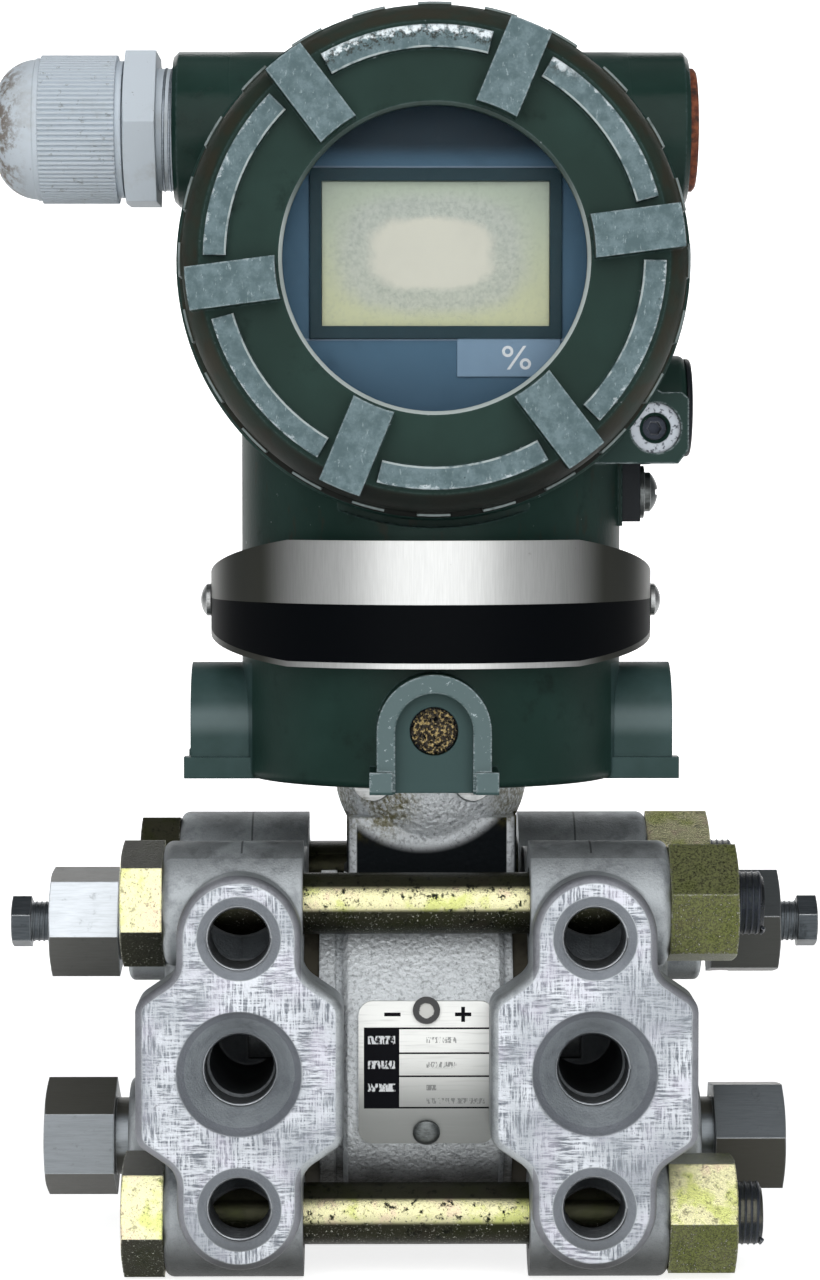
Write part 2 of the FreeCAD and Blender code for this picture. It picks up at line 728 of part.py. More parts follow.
# The tag plate is bent round the capsule and held by a stud above and a screw below.
tag_sheet = turned("tag_sheet", rectangle(s.capsule_radius, -s.tag_half_width, s.capsule_radius + s.tag_thickness,
                                          s.tag_half_width),
                   (capsule_shift + 0.4, s.capsule_depth, 0), "right")
tag_wide, tag_high, tag_corner = s.tag_half_width, s.tag_half_height, s.tag_corner
tag_blank = extruded("tag_blank", [
    (-tag_wide + tag_corner, -tag_high), (tag_wide - tag_corner, -tag_high, tag_corner),
    (tag_wide, -tag_high + tag_corner), (tag_wide, tag_high - tag_corner, tag_corner),
    (tag_wide - tag_corner, tag_high), (-tag_wide + tag_corner, tag_high, tag_corner),
    (-tag_wide, tag_high - tag_corner), (-tag_wide, -tag_high + tag_corner, tag_corner)],
    0, 12, (capsule_shift + 0.4, s.capsule_depth - 20, s.tag_up), "front")
sub_part(common("tag_plate", tag_sheet, tag_blank), "tag_plate")


def dome(name, radius, height, thickness, at, heading):
    """A low domed screw head that stands on the given point."""
    crown = (radius.number ** 2 + height.number ** 2) / (2 * height.number)
    return turned(name, [(0, 0), (radius, 0), (radius, thickness, crown), (0, height + thickness)], at, heading)


def stand_on_tag(item, up):
    """Stands a small round piece square on the curved tag plate at a height."""
    reach = s.capsule_radius + s.tag_thickness
    tilt = math.degrees(math.asin(up / reach.number))
    place(item, (capsule_shift + 0.4, s.capsule_depth - reach * math.cos(math.radians(tilt)), up))
    item.Placement.Rotation = FreeCAD.Rotation(FreeCAD.Vector(1, 0, 0), 90 - tilt)
    return item


tag_stud = turned("tag_stud", [(0, 0), (2.1, 0), (2.1, 0.7), (1.1, 0.7), (1.1, 0.4), (0, 0.4)])
sub_part(stand_on_tag(tag_stud, 8.1), "tag_plate_stud")
tag_screw = dome("tag_screw", size_of(2.1), size_of(0.9), 0.5, (0, 0, 0), "up")
sub_part(stand_on_tag(tag_screw, -10.9), "tag_plate_screw")


# ---------------------------------------------------------------- amplifier housing

barrel_up, barrel_front, barrel_back = s.barrel_up, s.barrel_front, s.barrel_back
barrel_length = barrel_back - barrel_front
barrel = turned("barrel", [
    (0, 0), (s.barrel_lip_radius, 0), (s.barrel_lip_radius, 8.5), (s.barrel_radius, 11.5),
    (s.barrel_radius, barrel_length - 11.5), (s.barrel_lip_radius, barrel_length - 8.5),
    (s.barrel_lip_radius, barrel_length), (0, barrel_length)], (axis_x, barrel_front, barrel_up), "back")
neck = turned("neck", [
    (0, s.collar_bottom), (s.neck_radius - 1.4, s.collar_bottom, 1.4), (s.neck_radius, s.collar_bottom + 1.4),
    (s.neck_radius, barrel_up - 12), (0, barrel_up - 12)], (axis_x, axis_y, 0))
hubs = turned("hubs", [
    (0, -s.hub_reach), (s.hub_radius - 0.8, -s.hub_reach), (s.hub_radius, -s.hub_reach + 0.8),
    (s.hub_radius, s.hub_reach - 0.8), (s.hub_radius - 0.8, s.hub_reach), (0, s.hub_reach)],
    (axis_x, s.hub_depth, s.hub_up), "right")
housing_solid = [barrel, neck, hubs]
housing_voids = []


def arch_boss(side, angle):
    """A boss like a small arch on the collar, with an open niche, two feet and a screw bore."""
    radius, low = s.arch_radius, s.collar_bottom - s.arch_up
    body = document.addObject("PartDesign::Body", f"arch_{side}")
    raise_outline(body, f"arch_{side}_boss", [(-radius, low), (radius, low), (radius, 0, radius), (0, radius, radius),
                                               (-radius, 0)],
                  s.neck_radius - 6, s.arch_reach)
    niche = s.arch_niche_radius
    raise_outline(body, f"arch_{side}_niche", [(-niche, low - 1), (niche, low - 1), (niche, 0, niche),
                                               (0, niche, niche), (-niche, 0)],
                  s.arch_reach - s.arch_niche_depth, s.arch_reach + 1, "PartDesign::Pocket")
    for sign in (-1, 1):
        near, far = niche + 0.4, radius + 1.1
        corners = rectangle(near, low, far, low + s.foot_height)
        if sign < 0:
            corners = rectangle(-far, low, -near, low + s.foot_height)
        raise_outline(body, f"arch_{side}_foot{sign + 1}", corners, s.neck_radius - 6, s.foot_reach)
    turning = FreeCAD.Rotation(FreeCAD.Vector(0, 0, 1), angle).multiply(headings["front"])
    place(body, (axis_x, axis_y, s.arch_up))
    body.Placement.Rotation = turning
    return body


for side, angle in (("front", 0), ("right", 90), ("rear", 180), ("left", 270)):
    housing_solid.append(arch_boss(side, angle))
for side, heading in (("front", "front"), ("right", "right"), ("rear", "back"), ("left", "left")):
    step = s.spigot_radius + 2
    housing_voids.append(turned(f"arch_{side}_bore", [
        (0, step - 4), (2.6, step - 4), (2.6, step), (s.arch_bore, step), (s.arch_bore, s.arch_reach + 1),
        (0, s.arch_reach + 1)], (axis_x, axis_y, s.arch_up), heading))


def lock_lug(side, start, heading, mirror):
    """The corner lug beside a cover, with the recess for its lock screw."""
    left, right, low, high = 18, s.lug_right, s.lug_bottom, s.lug_top
    outline = [(left, low), (right - 1.6, low), (right, low + 2.2), (right, high - 1), (right - 1, high),
               (right - 4.2, high), (left + 8, high + 6)]
    if mirror:
        outline = [(x, -size_of(y)) for x, y in reversed(outline)]
    lug = extruded(f"lock_lug_{side}", outline, -s.lug_thickness, 0, start, heading)
    return lug


front_face = (axis_x, barrel_front + 0.6, barrel_up)
rear_face_point = (axis_x, barrel_back - 0.6, barrel_up)
housing_solid.append(lock_lug("front", front_face, "front", False))
housing_solid.append(lock_lug("rear", rear_face_point, "back", True))
lock_x, lock_z = axis_x + s.lock_right, barrel_up + s.lock_down
for side, start, heading in (("front", barrel_front + 0.6, "back"), ("rear", barrel_back - 0.6, "front")):
    housing_voids.append(turned(f"lock_{side}_recess", [
        (0, -0.5), (s.lock_mouth_radius, -0.5), (s.lock_mouth_radius, 1.6), (s.lock_bore + 0.5, 1.6),
        (s.lock_bore, 2.1), (s.lock_bore, 10), (0, 10)], (lock_x, start, lock_z), heading))

zero_face = axis_x + s.zero_boss_reach
housing_solid.append(softened("zero_boss", s.zero_boss_radius, zero_face - 22,
                              (22, s.zero_depth, s.zero_up), "right", 1.2))
housing_voids.append(cylinder("zero_bore", s.zero_spindle_radius + 0.05, 9,
                              (zero_face - 8.5, s.zero_depth, s.zero_up), "right"))
pad_reach = s.plate_radius - s.plate_thickness
plate_pads = box("plate_pad_bar", (axis_x - s.plate_radius, axis_y - 4.5, s.plate_end_low + 0.4),
                 (axis_x + s.plate_radius, axis_y + 4.5, s.plate_end_high - 0.4))
pad_limit = turned("plate_pad_limit", rectangle(s.neck_radius - 3, 60, pad_reach, 80), (axis_x, axis_y, 0))
housing_solid.append(common("plate_pads", plate_pads, pad_limit))
ground_face = axis_x + s.neck_radius + 0.1
housing_solid.append(box("ground_boss", (axis_x + s.neck_radius - 4, axis_y - 6.2, s.ground_up - 5.4),
                         (ground_face, axis_y + 4.2, s.ground_up + 5.4)))
housing_voids.append(cylinder("cover_room", s.rim_lip_radius + s.cover_clearance, barrel_front + 1,
                              (axis_x, -1, barrel_up), "back"))

front_chamber = turned("front_chamber", [
    (0, -1), (s.barrel_bore + 0.8, -1), (s.barrel_bore + 0.8, 3.4), (s.barrel_bore, 4.1), (s.barrel_bore, 11.5),
    (s.inner_bore, 11.5), (s.inner_bore, s.partition_front - barrel_front),
    (0, s.partition_front - barrel_front)], (axis_x, barrel_front, barrel_up), "back")
rear_chamber = turned("rear_chamber", [
    (0, -1), (s.barrel_bore + 0.8, -1), (s.barrel_bore + 0.8, 3.4), (s.barrel_bore, 4.1),
    (s.barrel_bore, barrel_back - s.terminal_shoulder), (s.inner_bore, barrel_back - s.terminal_shoulder),
    (s.inner_bore, barrel_back - s.partition_back), (0, barrel_back - s.partition_back)],
    (axis_x, barrel_back, barrel_up), "front")
spigot_bore, hollow_radius = s.spigot_radius + 0.05, s.neck_radius - s.neck_wall - 2
neck_hollow = turned("neck_hollow", [
    (0, s.collar_bottom - 1), (spigot_bore, s.collar_bottom - 1), (spigot_bore, s.spigot_top + 0.1),
    (hollow_radius, s.spigot_top + 2.4), (hollow_radius, s.neck_hollow_top), (12, s.neck_hollow_roof),
    (0, s.neck_hollow_roof)], (axis_x, axis_y, 0))
wire_passage = cylinder("wire_passage", s.wire_passage_radius, 16,
                        (axis_x, s.partition_front - 6, s.wire_passage_up))
conduit = cylinder("conduit", s.hub_bore, s.hub_reach * 2 + 2,
                   (axis_x - s.hub_reach - 1, s.hub_depth, s.hub_up), "right")
sub_part(cut("amplifier_housing", fuse("housing_casting", *housing_solid), *housing_voids, front_chamber,
             rear_chamber, neck_hollow, wire_passage, conduit), "amplifier_housing")

# Neck seal, and the two radial screws that lock the housing on the capsule's spigot
sub_part(ring("neck_seal", s.spigot_radius - 1.0, 0.98, (axis_x, axis_y, s.spigot_top - 4.5), "up"), "neck_seal")
neck_screws = []
for side, sign, heading in (("front", -1, "front"), ("rear", 1, "back")):
    where = (axis_x, axis_y + sign * (s.spigot_radius + 7), s.arch_up)
    blank = turned(f"neck_screw_{side}_blank", [
        (0, -13), (2.45, -13), (2.45, -5), (s.arch_bore - 0.05, -5), (s.arch_bore - 0.05, 0), (0, 0)],
        where, heading)
    neck_screws.append(cut(f"neck_screw_{side}", blank,
                           hexagon(f"neck_screw_{side}_socket", size_of(4), 2.4,
                                   (where[0], where[1] + sign * -2.2, where[2]), heading)))
sub_part(group("neck_screws", *neck_screws), "neck_screws")

# Lock screws, sunk below the faces of their lugs
for side, start, heading, sign in (("front", barrel_front + 0.6, "front", 1),
                                   ("rear", barrel_back - 0.6, "back", -1)):
    blank = cylinder(f"lock_screw_{side}_blank", s.lock_bore - 0.05, 6.6,
                     (lock_x, start + sign * 9.6, lock_z), heading)
    socket = hexagon(f"lock_screw_{side}_socket", size_of(1.9), 1.8,
                     (lock_x, start + sign * 4.6, lock_z), heading)
    sub_part(cut(f"lock_screw_{side}", blank, socket), f"lock_screw_{side}")

# Zero adjuster: a slotted spindle inside a fixed bezel
bezel_round = 0.6
sub_part(turned("zero_bezel", [
    (s.zero_spindle_radius + 0.1, 0), (s.zero_bezel_radius, 0),
    (s.zero_bezel_radius, s.zero_bezel_thickness - bezel_round, bezel_round),
    (s.zero_bezel_radius - bezel_round, s.zero_bezel_thickness),
    (s.zero_spindle_radius + 0.1, s.zero_bezel_thickness)],
    (zero_face, s.zero_depth, s.zero_up), "right"), "zero_bezel")
spindle = turned("zero_spindle", [
    (0, -8), (s.zero_spindle_radius, -8), (s.zero_spindle_radius, 0.4), (s.zero_spindle_radius - 0.4, 0.8),
    (0, 0.8)], (zero_face, s.zero_depth, s.zero_up), "right")
slot = box("zero_slot", (zero_face - 0.4, s.zero_depth - 5, s.zero_up - 0.6),
           (zero_face + 2, s.zero_depth + 5, s.zero_up + 0.6))
sub_part(cut("zero_adjuster", spindle, slot), "zero_adjuster")

# Ground terminal on the right of the neck
ground = (ground_face, axis_y - 1, s.ground_up)
half = s.ground_spacer_half
sub_part(extruded("ground_spacer", rectangle(-half, -half, half, half), 0, s.ground_spacer_thickness,
                  ground, "right"), "ground_spacer")
washer_face = ground_face + s.ground_spacer_thickness
head_face = washer_face + s.ground_washer_thickness
sub_part(cylinder("ground_washers", s.ground_washer_radius, s.ground_washer_thickness,
                  (washer_face, ground[1], ground[2]), "right"), "ground_washers")
ground_head = dome("ground_head", size_of(3.15), size_of(1.3), 1.0, (head_face, ground[1], ground[2]),
                   "right")
ground_slots = [box(f"ground_slot_{name}", (head_face + 1, ground[1] - wide, ground[2] - high),
                    (head_face + 4, ground[1] + wide, ground[2] + high))
                for name, wide, high in (("flat", 2.0, 0.4), ("upright", 0.4, 2.0))]
sub_part(cut("ground_screw", ground_head, *ground_slots), "ground_screw")


# ---------------------------------------------------------------- nameplate band

def plate_blank(name):
    """The band's outline in side view on one half: full height in front, lower at the ends."""
    start = s.plate_radius.number * math.cos(math.radians(s.plate_straight_angle.number))
    low, high, end_low, end_high = s.plate_low, s.plate_high, s.plate_end_low, s.plate_end_high
    return extruded(name, [(-5.5, end_low), (3, end_low - 0.7), (start, low), (s.plate_radius + 2, low),
                           (s.plate_radius + 2, high), (start, high), (3, end_high + 0.7), (-5.5, end_high)],
                    0, s.plate_radius + 2)


band = turned("plate_band", rectangle(s.plate_radius - s.plate_thickness, 50, s.plate_radius, 90),
              (axis_x, axis_y, 0))
halves = []
for side, turn_to in (("right", FreeCAD.Vector(0, 1, 0)), ("left", FreeCAD.Vector(0, -1, 0))):
    half = plate_blank(f"plate_{side}_half")
    # local x runs towards the front, local y is up and the thickness grows to one side
    rotation = FreeCAD.Rotation(FreeCAD.Vector(0, -1, 0), FreeCAD.Vector(0, 0, 1),
                                FreeCAD.Vector(-1, 0, 0), "XYZ")
    place(half, (axis_x, axis_y, 0))
    half.Placement.Rotation = rotation
    if side == "right":
        mirrored_half = document.addObject("Part::Mirroring", "plate_right_mirror")
        mirrored_half.Source = half
        mirrored_half.Normal = FreeCAD.Vector(1, 0, 0)
        mirrored_half.Base = FreeCAD.Vector(axis_x.number, 0, 0)
        mirrored_half.setExpression("Base.x", axis_x.text)
        half = mirrored_half
    halves.append(half)
sub_part(common("nameplate", band, fuse("plate_outline", *halves)), "nameplate")
plate_middle = (s.plate_end_low + s.plate_end_high) / 2
nameplate_screws = [dome(f"nameplate_screw_{side}", size_of(2.6), size_of(1.0), 0.7,
                         (axis_x + sign * s.plate_radius, axis_y, plate_middle + 0.4), side)
                    for side, sign in (("left", -1), ("right", 1))]
sub_part(group("nameplate_screws", *nameplate_screws), "nameplate_screws")


# ---------------------------------------------------------------- covers

def wrench_lug(body, name, inner, start):
    """A radial lug whose ends follow circles about the cover's axis."""
    half, outer = s.wrench_lug_width / 2, s.wrench_lug_outer
    near = math.sqrt(inner.number ** 2 - half.number ** 2)
    far = math.sqrt(outer.number ** 2 - half.number ** 2)
    return raise_outline(body, name, [(near, -half), (far, -half, outer), (far, half), (near, half, -inner)],
                         start, s.wrench_lug_top)


def arc_rib(body, name, inner, outer, start, end, spread, centre=0):
    """A raised stretch of ring, spread degrees long."""
    angles = [math.radians(centre + turn * spread / 2) for turn in (-1, 1)]
    corners = [(inner * math.cos(angles[0]), inner * math.sin(angles[0])),
               (outer * math.cos(angles[0]), outer * math.sin(angles[0]), outer),
               (outer * math.cos(angles[1]), outer * math.sin(angles[1])),
               (inner * math.cos(angles[1]), inner * math.sin(angles[1]), -inner)]
    return raise_outline(body, name, corners, start, end)


def cover(name, inside, at, heading, spin):
    """A screwed cover: outline of its inside, then the outside that both covers share."""
    seal_low, seal_high = -3.1, -0.3
    outside = [
        (s.skirt_bore, -s.skirt_length), (s.skirt_radius - 0.8, -s.skirt_length),
        (s.skirt_radius, -s.skirt_length + 0.8), (s.skirt_radius, seal_low), (s.skirt_radius - 1.6, seal_low),
        (s.skirt_radius - 1.6, seal_high), (s.skirt_radius, seal_high), (s.skirt_radius, 0.02),
        (s.rim_lip_radius, 0.02), (s.rim_lip_radius, s.rim_lip_height - 0.4),
        (s.rim_lip_radius - 0.4, s.rim_lip_height), (s.rim_radius, s.rim_lip_height),
        (s.rim_radius, s.rim_thickness, 9), (s.face_radius, s.cover_floor)]
    body = document.addObject("PartDesign::Body", name)
    turn(body, name + "_turned", outside + inside)
    lug = wrench_lug(body, name + "_lug", s.wrench_lug_inner, s.cover_floor - 1)
    repeat_round(body, name + "_lugs", [lug], 6)
    foot = wrench_lug(body, name + "_lug_foot", s.arc_rib_inner, s.rim_thickness - 1)
    repeat_round(body, name + "_lug_feet", [foot], 6)
    rib = arc_rib(body, name + "_arc", s.arc_rib_inner, s.arc_rib_outer, s.cover_floor - 1, s.arc_rib_top,
                  44, 30)
    repeat_round(body, name + "_arcs", [rib], 6)
    rim = arc_rib(body, name + "_rim", s.rim_radius - 1, s.rim_radius + s.rim_rib_height,
                  s.rim_lip_height - 0.5, s.rim_thickness - 0.6, s.rim_rib_spread.number, 7.5)
    repeat_round(body, name + "_rims", [rim], 24)
    return place(body, at, heading, spin)


glass_top = s.cover_floor - 1.9
glass_low = glass_top - s.glass_thickness
window_side = [
    (s.window_radius + 0.5, s.cover_floor), (s.window_radius, s.cover_floor - 0.5),
    (s.window_radius, glass_top), (s.glass_radius, glass_top), (s.glass_radius, glass_low - 2.5),
    (s.skirt_bore, glass_low - 2.5)]
closed_low = s.cover_floor - s.closed_face_thickness
closed_side = [(0, s.cover_floor), (0, closed_low), (s.skirt_bore - 2, closed_low),
               (s.skirt_bore, closed_low - 2)]
lug_spin = 7.4
front_seat = (axis_x, barrel_front, barrel_up)
rear_seat = (axis_x, barrel_back, barrel_up)
sub_part(cover("front_cover", window_side, front_seat, "front", lug_spin), "front_cover")
sub_part(cover("rear_cover", closed_side, rear_seat, "back", 12), "rear_cover")
sub_part(turned("window_glass", [
    (0, glass_low), (s.glass_radius - 0.05, glass_low), (s.glass_radius - 0.05, glass_top), (0, glass_top)],
    front_seat, "front"), "window_glass")
sub_part(turned("window_ring", rectangle(s.window_radius + 0.6, glass_low - s.window_ring_height,
                                         s.glass_radius - 0.05, glass_low), front_seat, "front"),
         "window_ring")
for side, seat, sign, heading in (("front", barrel_front, 1, "front"), ("rear", barrel_back, -1, "back")):
    sub_part(ring(f"{side}_cover_seal", s.skirt_radius - 1.55 + s.seal_section, s.seal_section,
                  (axis_x, seat + sign * 1.7, barrel_up), heading), f"{side}_cover_seal")


# ---------------------------------------------------------------- display and boards

front = s.display_front
plate_right, plate_up = axis_x + s.display_right, s.display_up


def slab(name, width, height, start, end, right=plate_right, up=plate_up):
    """An upright plate between two depths."""
    return box(name, (right - width / 2, start, up - height / 2), (right + width / 2, end, up + height / 2))


plate_disc = turned("display_disc", rectangle(0, 0, s.display_plate_radius, 2), (axis_x, front, barrel_up),
                    "back")
plate_opening = slab("display_opening", s.frame_width, s.frame_height, front - 1, front + 3)
sub_part(cut("display_plate", plate_disc, plate_opening), "display_plate")
frame_blank = slab("frame_blank", s.frame_width - 0.1, s.frame_height - 0.1, front - 0.6, front + 2.6)
frame_opening = slab("frame_opening", s.panel_width, s.panel_height, front - 2, front + 5)
sub_part(cut("display_frame", frame_blank, frame_opening), "display_frame")
sub_part(slab("display_glass", s.panel_width - 0.1, s.panel_height - 0.1, front + s.panel_setback,
              front + 2.6), "display_glass")
sub_part(slab("unit_plate", s.unit_plate_width, s.unit_plate_height, front - 0.35, front,
              axis_x + s.unit_plate_right, s.unit_plate_up), "unit_plate")

pillars, screws, board_holes = [], [], []
for index, angle in enumerate((90, 210, 330)):
    x = axis_x + s.pillar_circle * math.cos(math.radians(angle))
    z = barrel_up + s.pillar_circle * math.sin(math.radians(angle))
    pillars.append(cylinder(f"pillar_{index}", s.pillar_radius, s.partition_front - front - 2,
                            (x, front + 2, z), "back"))
    screws.append(dome(f"display_screw_{index}", size_of(2.4), size_of(0.8), 0.6, (x, front, z), "front"))
    board_holes.append(cylinder(f"board_hole_{index}", s.pillar_radius + 0.1, 20, (x, front + 2, z), "back"))
sub_part(group("display_pillars", *pillars), "display_pillars")
sub_part(group("display_screws", *screws), "display_screws")
for name, setback in (("display_board", s.display_board_setback),
                      ("amplifier_board", s.amplifier_board_setback)):
    disc = turned(name + "_blank", rectangle(0, 0, s.board_radius, s.board_thickness),
                  (axis_x, front + setback, barrel_up), "back")
    sub_part(cut(name, disc, fuse(name + "_holes", *board_holes)), name)


# ---------------------------------------------------------------- terminals

block_front = s.terminal_shoulder
terminal_base = turned("terminal_base", rectangle(0, 0, s.barrel_bore - 0.1, s.terminal_base_thickness),
                       (axis_x, block_front, barrel_up), "back")
barrier = box("terminal_barrier", (axis_x - 22, block_front + s.terminal_base_thickness - 1, barrel_up - 10),
              (axis_x + 22, block_front + s.terminal_height, barrel_up + 8))
pockets, terminal_screws = [], []
pocket_floor, pocket_half = block_front + s.terminal_floor, s.terminal_pocket_half
for index in range(4):
    x = axis_x + (index - 1.5) * s.terminal_pitch
    pockets.append(box(f"terminal_pocket_{index}", (x - pocket_half, pocket_floor, barrel_up - 11),
                       (x + pocket_half, pocket_floor + 7, barrel_up + 4.5)))
    terminal_screws.append(dome(f"terminal_screw_{index}", size_of(3.2), size_of(1.2), 1.2,
                                (x, pocket_floor, barrel_up - 2), "back"))
wire_gap = box("terminal_wire_gap", (axis_x - 12, block_front - 1, barrel_up + 19),
               (axis_x + 12, block_front + 8, barrel_up + 36))
sub_part(cut("terminal_block", fuse("terminal_solid", terminal_base, barrier), *pockets, wire_gap),
         "terminal_block")
sub_part(group("terminal_screws", *terminal_screws), "terminal_screws")


# ---------------------------------------------------------------- cable gland and blind plug

gland_face = (axis_x - s.hub_reach, s.hub_depth, s.hub_up)
gland_hex = chamfered_hexagon("gland_hex", s.gland_flats, s.gland_hex_length,
                              (gland_face[0] - s.gland_neck, gland_face[1], gland_face[2]), "left", 90)
tube_radius, tube_bore = s.gland_tube_radius, s.gland_tube_bore
tube_end = s.gland_neck + s.gland_tube_length
gland_tube = turned("gland_tube", [
    (tube_bore, -s.gland_thread_length), (s.hub_bore - 0.05, -s.gland_thread_length), (s.hub_bore - 0.05, 0),
    (s.hub_bore - 0.4, 0.2), (s.hub_bore - 0.4, s.gland_neck + 1), (tube_radius, s.gland_neck + 1),
    (tube_radius, tube_end), (tube_bore, tube_end)], gland_face, "left")
gland_core = cylinder("gland_core", tube_bore, 50, (gland_face[0] + 20, gland_face[1], gland_face[2]), "left")
sub_part(cut("gland_body", fuse("gland_solid", gland_hex, gland_tube), gland_core), "gland_body")
seal_start, seal_end = s.gland_neck + 6.4, s.gland_neck + 21.6
sub_part(turned("gland_seal", [
    (s.cable_bore, seal_start), (tube_bore - 0.1, seal_start), (tube_bore - 0.1, seal_end - 2),
    (tube_bore - 1.2, seal_end), (s.cable_bore, seal_end)], gland_face, "left"), "gland_seal")


def gland_nut():
    """A dome nut with fine grip ribs all round."""
    start = s.gland_neck + s.gland_hex_length + 1.3
    end, nose = start + s.gland_nut_length, start + s.gland_nut_length + s.gland_dome_length
    outer, root = s.gland_nut_radius, s.gland_nut_radius - s.gland_grip_height
    body = turned("gland_nut_shell", [
        (9.7, start - 1.0), (11.0, start - 1.0), (11.0, start), (root, start), (root, end),
        (root - 0.2, end + 0.2, 7), (7.6, nose), (s.cable_bore + 0.3, nose),
        (s.cable_bore + 0.3, nose - 1.2), (7.3, nose - 3.6), (9.7, nose - 5.2)], gland_face, "left")
    ribs = document.addObject("Part::Feature", "gland_nut_ribs")
    count = 90
    tip = outer.number
    corners = []
    for index in range(count):
        for share, radius in ((0.0, root.number), (0.22, tip), (0.62, tip), (0.84, root.number)):
            angle = 2 * math.pi * (index + share) / count
            corners.append(FreeCAD.Vector(radius * math.cos(angle), radius * math.sin(angle), 0))
    ribs.Shape = Part.Face(Part.makePolygon(corners + corners[:1])).extrude(
        FreeCAD.Vector(0, 0, s.gland_nut_length.number - 0.8))
    place(ribs, (gland_face[0] - start, gland_face[1], gland_face[2]), "left")
    core = cylinder("gland_nut_core", root - 0.6, s.gland_nut_length,
                    (gland_face[0] - start, gland_face[1], gland_face[2]), "left")
    return fuse("gland_nut", body, cut("gland_nut_ring", ribs, core))


sub_part(gland_nut(), "gland_nut")
plug_face = (axis_x + s.hub_reach, s.hub_depth, s.hub_up)
plug_blank_shape = turned("blind_plug_blank", [
    (0, -9), (s.hub_bore - 0.05, -9), (s.hub_bore - 0.05, -0.4), (s.blind_plug_radius, 0),
    (s.blind_plug_radius, s.blind_plug_head - 0.4), (s.blind_plug_radius - 0.5, s.blind_plug_head),
    (0, s.blind_plug_head)], plug_face, "right")
plug_socket = hexagon("blind_plug_socket", s.blind_plug_socket, 6,
                      (plug_face[0] + s.blind_plug_head - 5, plug_face[1], plug_face[2]), "right")
sub_part(cut("blind_plug", plug_blank_shape, plug_socket), "blind_plug")


# ---------------------------------------------------------------- check and write

document.recompute()
failed = [item.Name for item in document.Objects
          if {"Invalid", "Error"} & set(item.State)
          or (hasattr(item, "Shape") and item in nodes and (item.Shape.isNull() or not item.Shape.isValid()))]
if failed:
    raise RuntimeError(f"not built: {', '.join(failed)}")
os.makedirs("parts", exist_ok=True)
for item in nodes:
    item.Shape.exportStep(os.path.join("parts", f"{item.Label}.step"))
print(f"{len(nodes)} sub-parts written")
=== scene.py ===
import bpy
import math
from mathutils import Matrix, Vector


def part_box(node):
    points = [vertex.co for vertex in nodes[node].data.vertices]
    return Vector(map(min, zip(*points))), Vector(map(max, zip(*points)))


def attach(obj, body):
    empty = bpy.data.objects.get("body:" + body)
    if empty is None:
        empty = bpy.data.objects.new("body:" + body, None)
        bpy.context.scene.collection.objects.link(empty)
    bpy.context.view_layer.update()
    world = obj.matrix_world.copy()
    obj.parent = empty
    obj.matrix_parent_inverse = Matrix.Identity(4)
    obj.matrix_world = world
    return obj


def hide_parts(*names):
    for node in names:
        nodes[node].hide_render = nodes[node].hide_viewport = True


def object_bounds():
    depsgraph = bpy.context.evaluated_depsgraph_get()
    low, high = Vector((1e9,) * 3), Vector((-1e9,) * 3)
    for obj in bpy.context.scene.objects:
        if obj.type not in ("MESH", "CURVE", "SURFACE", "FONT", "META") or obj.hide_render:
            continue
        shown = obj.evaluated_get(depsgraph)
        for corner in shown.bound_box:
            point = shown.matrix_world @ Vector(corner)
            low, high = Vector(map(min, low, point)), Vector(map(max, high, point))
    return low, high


# Looks of a differential pressure transmitter. Blender works in metres; settings here are in millimetres.

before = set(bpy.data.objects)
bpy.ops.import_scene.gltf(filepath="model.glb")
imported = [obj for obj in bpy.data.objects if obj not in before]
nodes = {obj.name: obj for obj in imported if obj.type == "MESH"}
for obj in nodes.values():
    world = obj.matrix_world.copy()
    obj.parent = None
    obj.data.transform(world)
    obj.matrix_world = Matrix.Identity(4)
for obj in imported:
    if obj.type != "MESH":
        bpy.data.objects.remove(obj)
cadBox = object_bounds()
mm = 0.001

# lines that patterns and added shapes share
layout = {
    "boltY": 15, "rearBoltY": 63, "boltZ": 24.3, "plugY": 39, "ventZ": 18.5, "drainZ": -16.5,
    "portX": 27, "tapZ": 20.65, "glandY": 44, "glandZ": 146.5,
}


def tone(red, green, blue):
    # a colour as it is seen on a screen, 0 to 255, in the linear values that a shader wants
    parts = [value / 255 for value in (red, green, blue)]
    return tuple(p / 12.92 if p <= 0.04045 else ((p + 0.055) / 1.055) ** 2.4 for p in parts) + (1.0,)


def boxMm(name):
    low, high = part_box(name)
    return low / mm, high / mm


def middleMm(name):
    return [(low + high) / 2 for low, high in zip(*boxMm(name))]


class Value:
    # an output socket that can be used in a Python expression
    def __init__(self, graph, socket):
        self.graph, self.socket = graph, socket

    def __add__(self, other):
        return self.graph.math("ADD", self, other)

    def __sub__(self, other):
        return self.graph.math("SUBTRACT", self, other)

    def __mul__(self, other):
        return self.graph.math("MULTIPLY", self, other)

    def __truediv__(self, other):
        return self.graph.math("DIVIDE", self, other)

    def __pow__(self, other):
        return self.graph.math("POWER", self, other)

    def __rsub__(self, other):
        return self.graph.math("SUBTRACT", other, self)

    def __lt__(self, other):
        return self.graph.math("LESS_THAN", self, other)

    def __gt__(self, other):
        return self.graph.math("GREATER_THAN", self, other)

    def __abs__(self):
        return self.graph.math("ABSOLUTE", self)

    __radd__ = __add__

    def lowest(self, other):
        return self.graph.math("MINIMUM", self, other)

    def highest(self, other):
        return self.graph.math("MAXIMUM", self, other)

    def between(self, low, high):
        return (self > low) * (self < high)

    def ramp(self, low, high):
        # 0 at low and 1 at high, where low may be the larger of the two
        return self.graph.node("ShaderNodeMapRange", {"interpolation_type": "SMOOTHSTEP"},
                               {"Value": self, "From Min": low, "From Max": high})


